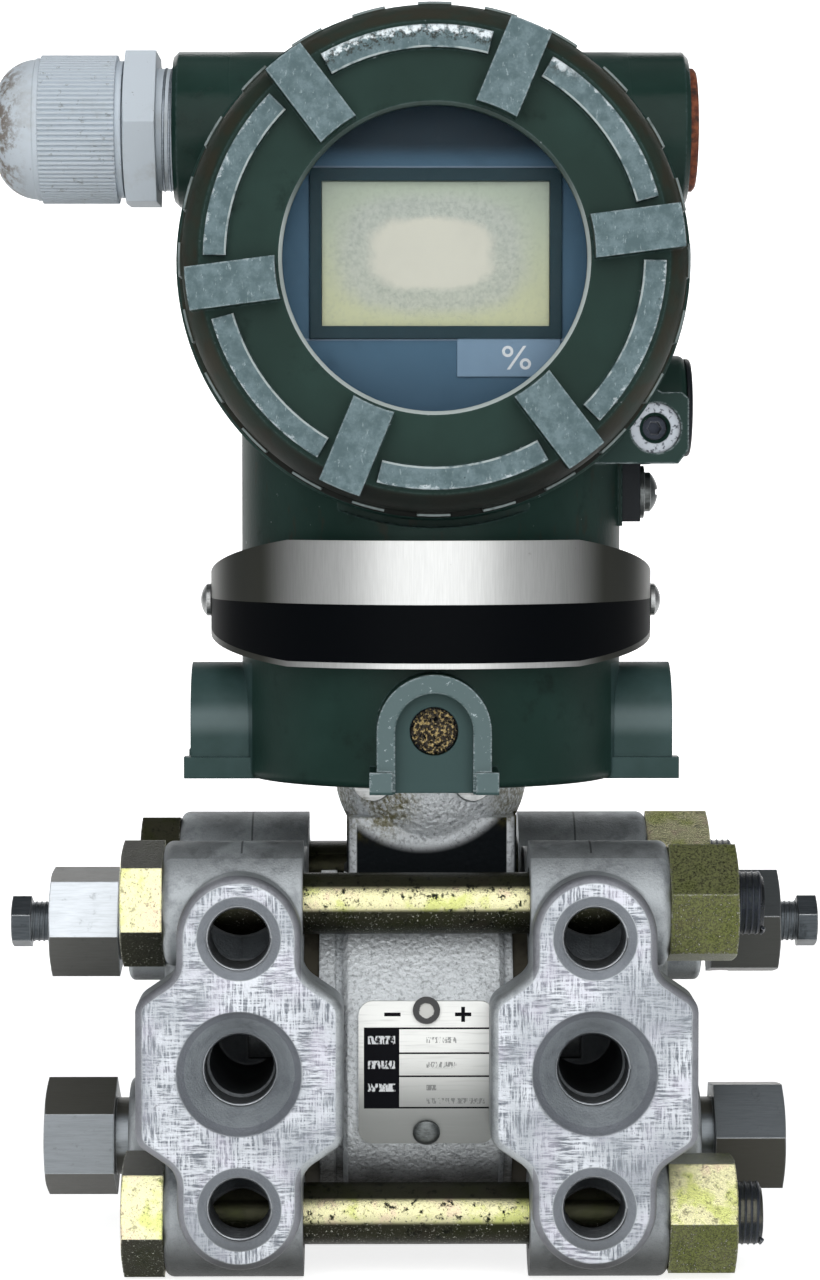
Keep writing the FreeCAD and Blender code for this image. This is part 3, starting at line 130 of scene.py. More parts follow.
class Graph:
    # a node tree and the ways to add to it
    def __init__(self, tree):
        self.tree = tree

    def node(self, kind, settings, inputs, output=0):
        made = self.tree.nodes.new(kind)
        for name, value in settings.items():
            setattr(made, name, value)
        for name, value in inputs.items():
            self.feed(made.inputs[name], value)
        return Value(self, made.outputs[output])

    def feed(self, socket, value):
        if isinstance(value, Value):
            self.tree.links.new(value.socket, socket)
        else:
            socket.default_value = value

    def math(self, operation, first, second=0.0):
        return self.node("ShaderNodeMath", {"operation": operation}, {0: first, 1: second})


shading = {"bevelSamples": 4, "edgeSharpness": 8.0}


class Surface(Graph):
    # one material: its coordinates in millimetres, and the patterns that several share
    def __init__(self, name, roughness=0.5, metallic=0.0, **constants):
        self.material = bpy.data.materials.new(name)
        self.material.use_nodes = True
        super().__init__(self.material.node_tree)
        self.shader = self.tree.nodes["Principled BSDF"]
        self.set("Roughness", roughness)
        self.set("Metallic", metallic)
        for socket, value in constants.items():
            self.set(socket.replace("_", " "), value)
        place = self.node("ShaderNodeTexCoord", {}, {}, "Object")
        self.at = self.node("ShaderNodeVectorMath", {"operation": "SCALE"}, {0: place, "Scale": 1 / mm})
        self.x = self.node("ShaderNodeSeparateXYZ", {}, {0: self.at}, "X")
        self.y = Value(self, self.x.socket.node.outputs["Y"])
        self.z = Value(self, self.x.socket.node.outputs["Z"])

    def set(self, socket, value):
        self.feed(self.shader.inputs[socket], value)

    def mix(self, factor, first, second):
        # ShaderNodeMix keeps its colour sockets after the ones for numbers and vectors
        return self.node("ShaderNodeMix", {"data_type": "RGBA"}, {0: factor, 6: first, 7: second}, 2)

    def stretched(self, x, y, z):
        return self.node("ShaderNodeVectorMath", {"operation": "MULTIPLY"}, {0: self.at, 1: (x, y, z)})

    def noise(self, perMm, detail=3.0, at=None, roughness=0.55):
        return self.node("ShaderNodeTexNoise", {}, {"Vector": at or self.at, "Scale": perMm, "Detail": detail,
                                                    "Roughness": roughness})

    def pebbles(self, perMm):
        return self.node("ShaderNodeTexVoronoi", {"feature": "SMOOTH_F1"}, {"Vector": self.at, "Scale": perMm})

    def facing(self, y=0.0, z=0.0):
        # how far the surface faces a fixed direction of the part
        normal = self.node("ShaderNodeNewGeometry", {}, {}, "Normal")
        return self.along(normal, (0, y, z))

    def along(self, first, second):
        return self.node("ShaderNodeVectorMath", {"operation": "DOT_PRODUCT"}, {0: first, 1: second}, "Value")

    def soften(self, width):
        # rounded is the normal with its edges softened, edge is 1 on them
        flat = self.node("ShaderNodeNewGeometry", {}, {}, "Normal")
        samples = {"samples": shading["bevelSamples"]}
        self.rounded = self.node("ShaderNodeBevel", samples, {"Radius": width * mm})
        self.edge = ((1 - self.along(self.rounded, flat)) * shading["edgeSharpness"]).lowest(1.0)

    def bump(self, height, depth, base=None):
        inputs = {"Distance": depth * mm, "Height": height}
        if base:
            inputs["Normal"] = base
        return self.node("ShaderNodeBump", {}, inputs)

    def rings(self, x, z):
        # distance from a line that runs from the front to the back
        across, up = self.x - x, self.z - z
        return (across * across + up * up) ** 0.5


def anyOf(masks):
    found, *others = masks
    for mask in others:
        found = found.highest(mask)
    return found


def wear(surface, *names):
    for name in names:
        item = nodes[name]
        item.data.materials.clear()
        item.data.materials.append(surface.material)


# Painted housing and covers

paint = {
    # dirt is also the colour of the painted shade low on the front cover's shoulder
    "colour": tone(27, 50, 44), "light": tone(44, 70, 64), "worn": tone(104, 124, 127),
    "brown": tone(50, 48, 38), "bare": tone(176, 186, 190), "dirt": tone(12, 17, 15),
    "scuffedAndLit": tone(66, 88, 88),
}


def paintedSurface(name, edgeWidth=0.5, wornEdges=0.4):
    s = Surface(name, Specular_IOR_Level=0.12)
    s.soften(edgeWidth)
    cloud = s.noise(0.035, 4)
    speckle = s.noise(1.6, 3)
    colour = s.mix(cloud.ramp(0.42, 0.66) * 0.45, paint["colour"], paint["light"])
    colour = s.mix(s.edge * speckle.ramp(0.3, 0.62) * wornEdges, colour, paint["worn"])
    grime = s.noise(0.11, 6, roughness=0.65).ramp(0.56, 0.74)
    colour = s.mix(grime * 0.5, colour, paint["dirt"])
    chipped = s.edge * s.noise(0.5, 4, roughness=0.6).ramp(0.66, 0.7)
    colour = s.mix(chipped, colour, paint["bare"])
    s.set("Normal", s.bump(s.noise(1.1, 2), 0.03, s.bump(chipped * -1.0, 0.12, s.rounded)))
    return s, colour, 0.36 + cloud * 0.16 + grime * 0.2 + chipped * 0.1


housing = {
    # depths from the milled faces; heights and reaches from the lock screw, the front arch and the band
    "lugY": (12.5, 13.5), "lugTop": 7, "bossY": 4, "bossTop": 9, "sideX": 28.5, "sideHighlightBand": (3.2, 0.4),
    "rimY": 1.0, "rimRadius": (5.6, 6.4), "neckZ": (-3, 12), "neckX": 30.5,
    "recessRadius": (1.9, 3.87), "recessY": (14.3, 15.2), "hubX": (28, 33), "hubZ": 130,
    "sideHighlight": tone(150, 166, 168), "rim": tone(112, 130, 132), "rubbed": tone(196, 208, 212),
    "rimChips": tone(178, 192, 196), "scratches": tone(150, 160, 158),
    "recessLight": tone(168, 174, 181), "recessDark": tone(84, 88, 94),
}


def housingPaint():
    s, colour, roughness = paintedSurface("housingPaint")
    lockX, _, lockZ = middleMm("lock_screw_front")
    archX, _, archZ = middleMm("neck_screws")
    bandTop = boxMm("nameplate")[1].z
    fromArch = abs(s.x - archX)
    front = s.facing(y=-1).ramp(0.9, 0.97)
    # the corner lug and the arch bosses stand out: the lug is a little scuffed, and the bosses' fronts and
    # sides are painted lighter as painted light, patchy with scuffs on the sides; a painted highlight band
    # runs across the sides
    lug = front * s.y.between(*housing["lugY"]) * (s.z < lockZ + housing["lugTop"])
    litBoss = front * (s.y < housing["bossY"]) * (s.z < archZ + housing["bossTop"])
    side = (fromArch > housing["sideX"]) * (s.z < archZ + housing["bossTop"])
    sideLitAndScuffed = side * (s.noise(0.15, 3).ramp(0.3, 0.7) * 0.3 + 0.5)
    colour = s.mix((lug * 0.15).highest(litBoss * 0.75).highest(sideLitAndScuffed), colour, paint["scuffedAndLit"])
    colour = s.mix(side * abs(s.z - archZ).ramp(*housing["sideHighlightBand"]) * 0.3, colour, housing["sideHighlight"])
    ring = s.rings(archX, archZ).ramp(*housing["rimRadius"]) * (s.z > archZ - housing["bossTop"])
    rim = front * (s.y < housing["rimY"]) * ring
    colour = s.mix(rim * 0.6, colour, housing["rim"])
    scratch = s.noise(1.0, 4, at=s.stretched(0.5, 1, 2.6), roughness=0.7)
    colour = s.mix(s.edge * rim.highest(lug) * scratch.ramp(0.4, 0.6) * 0.85, colour, housing["rubbed"])
    colour = s.mix(rim * s.noise(1.2, 5, roughness=0.7).ramp(0.62, 0.68), colour, housing["rimChips"])
    # above the band the neck is stained, and a few scratches show the metal
    foot, top = (bandTop + rise for rise in housing["neckZ"])
    neck = s.z.between(foot, top) * (fromArch < housing["neckX"])
    streaks = s.noise(0.5, 5, at=s.stretched(1, 1, 0.3), roughness=0.65)
    colour = s.mix(neck * streaks.ramp(0.55, 0.66) * 0.5, colour, paint["brown"])
    scratches = s.noise(0.8, 4, roughness=0.6).ramp(0.71, 0.725)
    colour = s.mix(neck * scratches * 0.8, colour, housing["scratches"])
    # the floor of the lock recess is bare metal
    bare = s.rings(lockX, lockZ).between(*housing["recessRadius"]) * s.y.between(*housing["recessY"]) * front
    mottled = s.mix(s.noise(1.6, 4).ramp(0.55, 0.66), housing["recessLight"], housing["recessDark"])
    s.set("Base Color", s.mix(bare, colour, mottled))
    s.set("Metallic", bare * 0.7)
    hubs = fromArch.ramp(*housing["hubX"]) * (s.z > housing["hubZ"])
    s.set("Roughness", roughness - hubs * 0.2)
    return s


cover = {
    # depths behind the cover's front, radii and heights from its middle
    "floorY": 4.4, "shoulderY": 8.4, "lipY": 17.3, "windowRadius": (22.6, 23.35), "arcRadius": (30.9, 34.7),
    "arcHighlightEdge": 31.4, "shoulderRadius": (35.0, 35.8), "shade": (-18, -34), "highlightFades": (14, 2),
    "tornFrom": (25.5, 29.5), "torn": (33.3, 33.9), "burnt": (32.2, 33.1), "anyEdge": (34.2, 34.6),
    "ribRadius": (38.2, 38.35), "ribEnd": 8.6,
    "topDark": tone(88, 108, 112), "topLight": tone(116, 136, 141), "scuff": tone(158, 174, 178),
    "topSpots": tone(66, 82, 82), "highlight": tone(196, 206, 204), "burntColour": tone(48, 46, 38),
    "metal": tone(214, 222, 226), "ribs": tone(140, 152, 152), "rubbed": tone(190, 204, 208),
}


def coverPaint():
    s, colour, roughness = paintedSurface("coverPaint")
    faceY = boxMm("front_cover")[0].y
    centreX, _, centreZ = middleMm("front_cover")
    floorY, shoulderY, lipY = (faceY + cover[depth] for depth in ("floorY", "shoulderY", "lipY"))
    radius, above = s.rings(centreX, centreZ), s.z - centreZ
    raised = (s.y < floorY - 0.5) * s.facing(y=-1).ramp(0.93, 0.985)
    worn = s.mix(s.noise(0.5, 5, roughness=0.7).ramp(0.35, 0.7), cover["topDark"], cover["topLight"])
    scuffs = s.noise(2.2, 4, at=s.stretched(1, 1, 0.35), roughness=0.7)
    worn = s.mix(scuffs.ramp(0.6, 0.68) * 0.7, worn, cover["scuff"])
    worn = s.mix(s.noise(0.8, 6, roughness=0.75).ramp(0.66, 0.7), worn, cover["topSpots"])
    colour = s.mix(raised, colour, worn)
    shoulder = radius.ramp(*cover["shoulderRadius"]) * (1 - raised) * s.y.between(floorY - 0.2, lipY)
    colour = s.mix(shoulder * (0.5 + s.noise(0.2, 4).ramp(0.4, 0.6) * 0.4), colour, paint["brown"])
    # painted shade on the shoulder, darker towards the bottom
    colour = s.mix(shoulder * above.ramp(*cover["shade"]) * 0.85, colour, paint["dirt"])
    # painted highlights: thin silver lines along the inner edge of the arcs and round the window, the one
    # round the window brightest towards the bottom
    arcInner, arcOuter = cover["arcRadius"]
    arcFront = raised * (s.y > floorY - 2)
    arcHighlight = arcFront * radius.between(arcInner, cover["arcHighlightEdge"]) * s.noise(0.3, 3).ramp(0.35, 0.5)
    windowHighlight = radius.between(*cover["windowRadius"]) * (s.y < floorY + 0.55)
    windowHighlight = windowHighlight * (above.ramp(*cover["highlightFades"]) * 0.7 + 0.08)
    colour = s.mix((arcHighlight * 0.7).highest(windowHighlight), colour, cover["highlight"])
    # the arc on top has lost its paint in ragged chips along its outer edge
    ragged = s.noise(0.75, 6, roughness=0.75)
    arc = arcFront * radius.between(arcInner, arcOuter)
    topArc = arc * above.ramp(*cover["tornFrom"])
    torn = topArc * (radius + ragged * 4.4 - 2.2).ramp(*cover["torn"])
    burnt = topArc * (radius + ragged * 5.5 - 2.75).ramp(*cover["burnt"])
    burnt = burnt * s.noise(1.3, 4, roughness=0.7).ramp(0.46, 0.54)
    anyEdge = arc * (radius + s.noise(0.6, 5, roughness=0.8) * 5.0 - 2.5).ramp(*cover["anyEdge"])
    colour = s.mix(burnt * 0.85, colour, cover["burntColour"])
    lost = torn.highest(anyEdge * 0.7)
    colour = s.mix(lost * ragged.ramp(0.38, 0.58), colour, cover["metal"])
    # the ribs round the rim are rubbed pale
    ribs = radius.ramp(*cover["ribRadius"]) * s.y.between(shoulderY - 0.2, shoulderY + cover["ribEnd"])
    colour = s.mix(ribs * (0.55 + s.noise(0.4, 3).ramp(0.3, 0.5) * 0.4), colour, cover["ribs"])
    rubbed = s.edge * raised * s.noise(1.2, 3).ramp(0.38, 0.6)
    s.set("Base Color", s.mix(rubbed * 0.85, colour, cover["rubbed"]))
    s.set("Metallic", lost * 0.4)
    s.set("Roughness", roughness)
    return s


def rearPaint():
    s, colour, roughness = paintedSurface("rearCoverPaint", 0.6, 0.5)
    s.set("Base Color", colour)
    s.set("Roughness", roughness)
    return s


wear(housingPaint(), "amplifier_housing")
wear(coverPaint(), "front_cover")
wear(rearPaint(), "rear_cover")
print("paint done")


# Cast and milled steel

steel = {
    # grime is also the colour of the painted shade on faces that turn up or down, and of the darkening towards
    # the feet
    "cast": tone(206, 211, 214), "castDark": tone(132, 137, 140), "grime": tone(38, 37, 32),
    "olive": tone(112, 104, 48), "milled": tone(206, 210, 216), "milledDark": tone(104, 109, 116),
    "shadow": tone(22, 26, 29),
}


def castSurface(name, grain, relief, edgeWidth=0.6):
    s = Surface(name, Specular_IOR_Level=0.06)
    s.soften(edgeWidth)
    fine = s.noise(grain * 2.2, 4, roughness=0.6)
    shade = s.noise(0.09, 4)
    colour = s.mix(shade.ramp(0.4, 0.65) * 0.3 + fine.ramp(0.45, 0.7) * 0.3, steel["cast"], steel["castDark"])
    s.set("Normal", s.bump(s.pebbles(grain) * 0.7 + fine * 0.6, relief, s.rounded))
    return s, colour, 0.4 + shade * 0.16


capsule = {
    "bulbZ": (29, 31), "bulbMiddleZ": 47.8, "bulbRadius": (15.4, 17.2), "footZ": (-8, -25),
    "blockZ": (27.2, 36.8), "blockFrontY": 27.3, "blockMiddleX": 2.6, "blockSide": (12.9, 13.3),
    "bulbColour": tone(240, 244, 247), "pits": tone(96, 101, 105),
    # olive stains below the left plug and at the sides of the bulb
    "stainAt": (3.8, 0.5), "stainRadius": (8.5, 3.5), "stainX": (9.5, 13.5), "stainSideZ": (34, 38),
    "stainZ": (30.5, 33.5),
}


def capsuleSteel():
    s, colour, roughness = castSurface("capsuleSteel", 1.25, 0.42)
    plugLow, _ = boxMm("fill_plugs")
    middleX = middleMm("fill_plugs")[0]
    bulb = s.z.ramp(*capsule["bulbZ"])
    grime = s.noise(0.16, 5, roughness=0.6)
    pits = s.noise(1.5, 4, roughness=0.7)
    colour = s.mix(bulb * 0.25 + 0.6, colour, capsule["bulbColour"])
    colour = s.mix(pits.ramp(0.52, 0.64) * 0.45, colour, capsule["pits"])
    # faces that turn down get painted shade, and the disc is darker and patchy towards its foot
    under = s.facing(z=-1).ramp(0.3, 0.9) * (1 - bulb) * 0.6
    foot = s.z.ramp(*capsule["footZ"]) * 0.8
    colour = s.mix((under + foot * (0.5 + grime * 0.7)).lowest(0.95), colour, steel["grime"])
    # the block between the disc and the bulb lies in the shade
    front = (s.y < capsule["blockFrontY"]) * s.facing(y=-1).ramp(0.97, 0.99)
    block = s.z.between(*capsule["blockZ"]) * front.highest(
        abs(s.x - capsule["blockMiddleX"]).ramp(*capsule["blockSide"]))
    block = block * s.rings(middleX, capsule["bulbMiddleZ"]).ramp(*capsule["bulbRadius"])
    colour = s.mix(block, colour, steel["shadow"])
    right, over = capsule["stainAt"]
    left = s.rings(plugLow.x + right, plugLow.z + over).ramp(*capsule["stainRadius"])
    sides = abs(s.x - middleX).ramp(*capsule["stainX"]) * s.z.ramp(*capsule["stainSideZ"])
    olive = (left * grime.ramp(0.38, 0.56)).highest(sides * 0.7) * pits.ramp(0.36, 0.56)
    s.set("Base Color", s.mix(olive * s.z.ramp(*capsule["stainZ"]) * 0.9, colour, steel["olive"]))
    s.set("Metallic", 0.45 - block * 0.4 + bulb * (1 - block) * 0.2)
    s.set("Roughness", roughness + block * 0.3)
    return s


flange = {
    "skin": 0.05, "padX": (17.6, 43.2), "padRoundY": (0.05, 1.5),
    "mouthRadius": 6.6, "mouthY": (0.02, 0.5), "tapRadius": 5.6, "tapY": (0.6, 2.5),
    "portRadius": 9.75, "coneY": (0.02, 4.7), "portY": (2, 12), "inFrontOf": 40,
    "seamX": 26.9, "seamHalf": (0.22, 0.08), "seamZ": (14, 18), "seamFromY": 10, "footZ": (-22, -31),
    "wash": tone(112, 117, 121), "spots": tone(70, 74, 78), "sheen": tone(186, 180, 196),
    "dull": tone(128, 134, 140), "nicks": tone(92, 92, 98), "padEdge": tone(112, 110, 120),
    "mouth": tone(104, 111, 117), "cone": tone(150, 158, 166), "deep": tone(20, 27, 32),
    "seam": tone(52, 54, 56), "edge": tone(214, 218, 222),
}


def milledColour(s, hatch):
    # a face that an end mill has crossed both ways, with a faint sheen, dull patches and nicks
    colour = s.mix(hatch * 0.92, steel["milledDark"], steel["milled"])
    colour = s.mix(s.noise(0.18, 2).ramp(0.45, 0.7) * 0.35, colour, flange["sheen"])
    colour = s.mix(s.noise(0.055, 3).ramp(0.44, 0.62) * 0.6, colour, flange["dull"])
    return s.mix(s.noise(0.9, 5, roughness=0.75).ramp(0.6, 0.66) * 0.6, colour, flange["nicks"])


def flangeSteel():
    s, colour, roughness = castSurface("flangeSteel", 2.6, 0.07, 0.7)
    backY = boxMm("flange_right")[1].y
    colour = s.mix(0.4, colour, flange["wash"])
    colour = s.mix(s.noise(0.3, 5, roughness=0.7).ramp(0.45, 0.7) * 0.35, colour, flange["spots"])
    front = s.facing(y=-1).ramp(0.97, 0.995) * (s.y < flange["skin"])
    milled = front.highest(s.facing(y=1).ramp(0.97, 0.995) * (s.y > backY - flange["skin"]))
    across = s.noise(1.0, 5, at=s.stretched(0.25, 1, 2.6), roughness=0.7)
    upright = s.noise(1.0, 5, at=s.stretched(2.6, 1, 0.25), roughness=0.7)
    patches = s.noise(0.16, 4, roughness=0.6)
    lines = across.ramp(0.42, 0.58) * patches.ramp(0.36, 0.52)
    posts = upright.ramp(0.42, 0.58) * patches.ramp(0.62, 0.46)
    hatch = (lines + posts).lowest(1.0) * (s.noise(0.07, 3).ramp(0.3, 0.55) * 0.35 + 0.65)
    colour = s.mix(milled, colour, milledColour(s, hatch))
    # the rounded edge of the milled pads, and the cast face just round them
    pad = abs(s.x).between(*flange["padX"]) * s.y.between(*flange["padRoundY"])
    colour = s.mix(pad * 0.55, colour, flange["padEdge"])
    # mouths of the tapped holes and of the ports; the tapped mouths are painted darker as the painted shade of
    # a steep chamfer, and deep inside the holes there is painted shade
    fromPort = abs(s.x) - layout["portX"]
    hole = (fromPort * fromPort + (abs(s.z) - layout["tapZ"]) ** 2) ** 0.5
    mouth = s.y.between(*flange["mouthY"]) * (hole < flange["mouthRadius"])
    port = s.rings(layout["portX"], 0).lowest(s.rings(-layout["portX"], 0)) < flange["portRadius"]
    colour = s.mix(mouth * 0.6, colour, flange["mouth"])
    colour = s.mix(port * s.y.between(*flange["coneY"]) * 0.35, colour, flange["cone"])
    tapped = s.y.ramp(*flange["tapY"]) * (hole < flange["tapRadius"])
    deep = (s.y.ramp(*flange["portY"]) * port).highest(tapped) * (s.y < flange["inFrontOf"])
    colour = s.mix(deep * 0.85, colour, flange["deep"])
    # the mould's parting line crosses the tops of the castings
    seam = abs(abs(s.x) - flange["seamX"]).ramp(*flange["seamHalf"]) * s.z.ramp(*flange["seamZ"])
    seam = seam * s.facing(z=1).ramp(0.3, 0.6) * (s.y > flange["seamFromY"])
    colour = s.mix(seam * 0.7, colour, flange["seam"])
    colour = s.mix(s.edge * (1 - milled) * 0.35, colour, flange["edge"])
    # faces that turn up get patchy painted shade, faces that turn down painted shade, and the cast steel is
    # darker towards the foot
    shadedTops = s.facing(z=1).ramp(0.35, 1.0) * s.noise(0.12, 4).ramp(0.3, 0.55) * (s.y > 9)
    down = s.facing(z=-1).ramp(0.6, 1.0)
    foot = s.z.ramp(*flange["footZ"]) * (1 - milled) * 0.8
    s.set("Base Color", s.mix((shadedTops * 0.45 + down * 0.5).highest(foot), colour, steel["grime"]))
    s.set("Metallic", 0.72 + milled * 0.2)
    s.set("Roughness", roughness + 0.06 - milled * (0.1 + hatch * 0.06))
    return s


wear(capsuleSteel(), "capsule_body")
wear(flangeSteel(), "flange_left", "flange_right")
print("cast steel done")


# Bolts, plugs and screws

zinc = {
    "pale": tone(208, 204, 162), "yellow": tone(190, 194, 124), "pink": tone(206, 184, 162),
    # burnt is the colour of the passivation's dark spots, and also of the painted shade
    "burnt": tone(22, 24, 18), "olive": tone(96, 102, 60), "blue": tone(28, 32, 44),
    "silver": tone(220, 220, 206),
    # between the flanges, inside them, on the nuts, and on the thread beyond
    "innerX": 17.5, "outerX": 39, "threadX": 49.7, "middleY": 39, "behindY": (40, 52),
}


def zincSurface():
    s = Surface("yellowZinc", Specular_IOR_Level=0.1)
    s.soften(0.45)
    mottle = s.noise(0.6, 6, roughness=0.75)
    fine = s.noise(2.8, 5, roughness=0.75)
    hue = s.noise(0.22, 3)
    colour = s.mix(hue.ramp(0.36, 0.5), zinc["yellow"], zinc["pale"])
    colour = s.mix(hue.ramp(0.55, 0.68) * 0.7, colour, zinc["pink"])
    # painted shade: flats that face up or down, the rods inside the flanges, the rear bolts and the whole
    # upper front nut go dark, olive-green on the nuts
    up, nut = s.facing(z=1), s.x > zinc["outerX"]
    high = up.ramp(0.54, 0.66) * (1 - nut * (s.y > zinc["middleY"]))
    low = up.ramp(-0.03, -0.2)
    rod = (abs(s.x) < zinc["innerX"]) * 0.5
    spots = mottle.ramp(0.54, 0.64) * (rod + 0.5) + fine.ramp(0.57, 0.64) * 0.8 + rod * 0.3
    colour = s.mix(spots, colour, zinc["burnt"])
    shadedUpperNut = nut * (s.z > 0) * (s.y < zinc["middleY"])
    green = s.mix(fine.ramp(0.4, 0.62), zinc["olive"], zinc["burnt"])
    colour = s.mix(high.highest(low).highest(shadedUpperNut) * nut * 0.93, colour, green)
    shadedInside = abs(s.x).between(zinc["innerX"], zinc["outerX"])
    shadedBehind = s.y.ramp(*zinc["behindY"]) * (0.97 - nut * 0.77)
    dark = (high.highest(low) * (1 - nut)).highest(shadedInside).highest(shadedBehind) * 0.97
    colour = s.mix(dark, colour, zinc["burnt"])
    rubbed = (s.edge * fine.ramp(0.45, 0.6)).highest(fine.ramp(0.6, 0.66) * low)
    colour = s.mix(rubbed * 0.7, colour, zinc["silver"])
    s.set("Base Color", s.mix((s.x > zinc["threadX"]) * 0.9, colour, zinc["blue"]))
    s.set("Metallic", 0.95 - high * 0.8)
    s.set("Roughness", 0.16 + mottle * 0.16 + low * 0.2)
    s.set("Normal", s.bump(fine, 0.06, s.rounded))
    return s


rubbedSteel = tone(225, 228, 230)


def turnedSurface(name, colour, dark, roughness=0.3, dirty=0.4, edgeWidth=0.3):
    s = Surface(name, metallic=0.95)
    s.soften(edgeWidth)
    streak = s.noise(1.0, 3, at=s.stretched(0.25, 3.5, 3.5), roughness=0.7)
    patch = s.noise(0.35, 5, roughness=0.65)
    shade = s.mix(streak.ramp(0.35, 0.7) * 0.4 + patch.ramp(0.5, 0.72) * dirty, colour, dark)
    s.set("Base Color", s.mix(s.edge * 0.5, shade, rubbedSteel))
    s.set("Roughness", roughness + patch * 0.2)
    s.set("Normal", s.bump(streak, 0.015, s.rounded))
    return s


plug = {
    "light": tone(186, 191, 196), "streaks": tone(138, 142, 144), "dull": tone(46, 54, 58),
    "brown": tone(64, 60, 48), "patches": tone(70, 72, 70),
}


def plugSurface():
    s = Surface("plugSteel", Specular_IOR_Level=0.1)
    s.soften(0.3)
    streak = s.noise(1.0, 3, at=s.stretched(0.25, 3.5, 3.5), roughness=0.7)
    patch = s.noise(0.5, 5, roughness=0.7)
    colour = s.mix(streak.ramp(0.35, 0.7) * 0.3, plug["light"], plug["streaks"])
    # painted shade: all but the upper left plug are painted darker, and flats that face up or down get a brown
    # painted shade
    up = s.facing(z=1)
    brown = up.ramp(0.6, 0.75).highest(up.ramp(-0.2, -0.4)) * 0.8
    dull = ((s.x > 0) * (s.z > 0) * 0.86).highest((s.z < 0) * (0.6 + (s.x > 0) * 0.12))
    colour = s.mix(brown, s.mix(dull, colour, plug["dull"]), plug["brown"])
    colour = s.mix(patch.ramp(0.6, 0.7) * 0.3, colour, plug["patches"])
    s.set("Base Color", s.mix(s.edge * 0.45, colour, rubbedSteel))
    s.set("Metallic", 0.95 - brown)
    s.set("Roughness", 0.24 + patch * 0.2)
    s.set("Normal", s.bump(streak, 0.015, s.rounded))
    return s


rust = {"dark": tone(88, 40, 24), "light": tone(150, 84, 52), "burnt": tone(52, 34, 28)}


def rustSurface():
    s = Surface("rustedPlug", roughness=0.75)
    s.soften(0.4)
    crust = s.noise(0.9, 6, roughness=0.7)
    colour = s.mix(crust.ramp(0.35, 0.65), rust["dark"], rust["light"])
    s.set("Base Color", s.mix(s.noise(0.4, 3).ramp(0.55, 0.7), colour, rust["burnt"]))
    s.set("Normal", s.bump(crust, 0.15, s.rounded))
    return s


yellowZinc = zincSurface()
plugSteel = plugSurface()
darkSteel = turnedSurface("darkSteel", tone(50, 54, 62), tone(18, 20, 26), 0.34, 0.6, 0.2)
ventSteel = turnedSurface("ventSteel", tone(78, 83, 87), tone(30, 34, 36), 0.26, 0.6)
screwSteel = turnedSurface("screwSteel", tone(170, 172, 172), tone(70, 68, 62), 0.26, 0.5, 0.15)
groundSteel = turnedSurface("groundSteel", tone(104, 108, 108), tone(44, 46, 44), 0.3, 0.6, 0.2)
wear(darkSteel, "neck_screws", "lock_screw_front", "lock_screw_rear")
wear(ventSteel, "vent_screw_left", "vent_screw_right")
wear(screwSteel, "nameplate_screws", "display_screws", "display_pillars", "terminal_screws", "pressure_sensor",
     "diaphragms", "fill_plugs")
wear(groundSteel, "ground_screw", "ground_washers", "tag_plate_screw")
wear(rustSurface(), "blind_plug")


# Hexagons as the last spanner left them, each turned about its own axis

hexagon = {"reach": 12, "outsideX": 30}
boltY, boltZ, plugY = layout["boltY"], layout["boltZ"], layout["plugY"]
ventZ, drainZ = layout["ventZ"], layout["drainZ"]
hexagons = {
    # node: (slot, surface, {(side, y, z): degrees}), where side is -1 on the left and 1 on the right
    "flange_bolts": ("yellow_zinc", yellowZinc, {(-1, boltY, boltZ): 22, (-1, boltY, -boltZ): 7}),
    "flange_nuts": ("yellow_zinc", yellowZinc, {(1, boltY, boltZ): 19, (1, boltY, -boltZ): 13}),
    "vent_plugs": ("turned_steel", plugSteel, {(-1, plugY, ventZ): 9, (1, plugY, ventZ): 19}),
    "drain_plugs": ("turned_steel", plugSteel, {(-1, plugY, drainZ): -19, (1, plugY, drainZ): 11}),
}


def turnHexagons(node, surface, turns):
    mesh = nodes[node].data.copy()
    normals = [corner.vector.copy() for corner in mesh.corner_normals]
    turnOf = {}
    for vertex in mesh.vertices:
        for (side, y, z), degrees in turns.items():
            centre = Vector((0, y, z)) * mm
            arm = vertex.co - centre
            if arm.x * side > hexagon["outsideX"] * mm and math.hypot(arm.y, arm.z) < hexagon["reach"] * mm:
                turn = Matrix.Rotation(math.radians(degrees), 3, "X")
                vertex.co = centre + turn @ arm
                turnOf[vertex.index] = turn
    for index, loop in enumerate(mesh.loops):
        if loop.vertex_index in turnOf:
            normals[index] = turnOf[loop.vertex_index] @ normals[index]
    mesh.normals_split_custom_set(normals)
    mesh.materials.clear()
    mesh.materials.append(surface.material)
    piece = bpy.data.objects.new(node + "_turned", mesh)
    bpy.context.scene.collection.objects.link(piece)
    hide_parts(node)
    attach(piece, "transmitter")


for node, (slot, surface, turns) in hexagons.items():
    turnHexagons(node, surface, turns)
print("fasteners done")


# Plastics and rubber

def plasticSurface(name, colour, dirt, roughness, dirty):
    s = Surface(name, Specular_IOR_Level=0.18)
    s.soften(0.25)
    cloud = s.noise(0.12, 5, roughness=0.65)
    specks = s.noise(0.9, 5, roughness=0.7).ramp(0.66, 0.72)
    shade = s.mix(cloud.ramp(0.5, 0.75) * dirty, colour, dirt)
    shade = s.mix(specks * dirty, shade, tone(52, 50, 44))
    s.set("Base Color", shade)
    s.set("Roughness", roughness + cloud * 0.2)
    s.set("Normal", s.bump(s.noise(3.0, 2), 0.01, s.rounded))
    return s, shade


gland = {"noseX": (5.5, 1.0), "linesFromX": 6.5, "muck": tone(104, 84, 58), "lines": tone(120, 122, 118)}


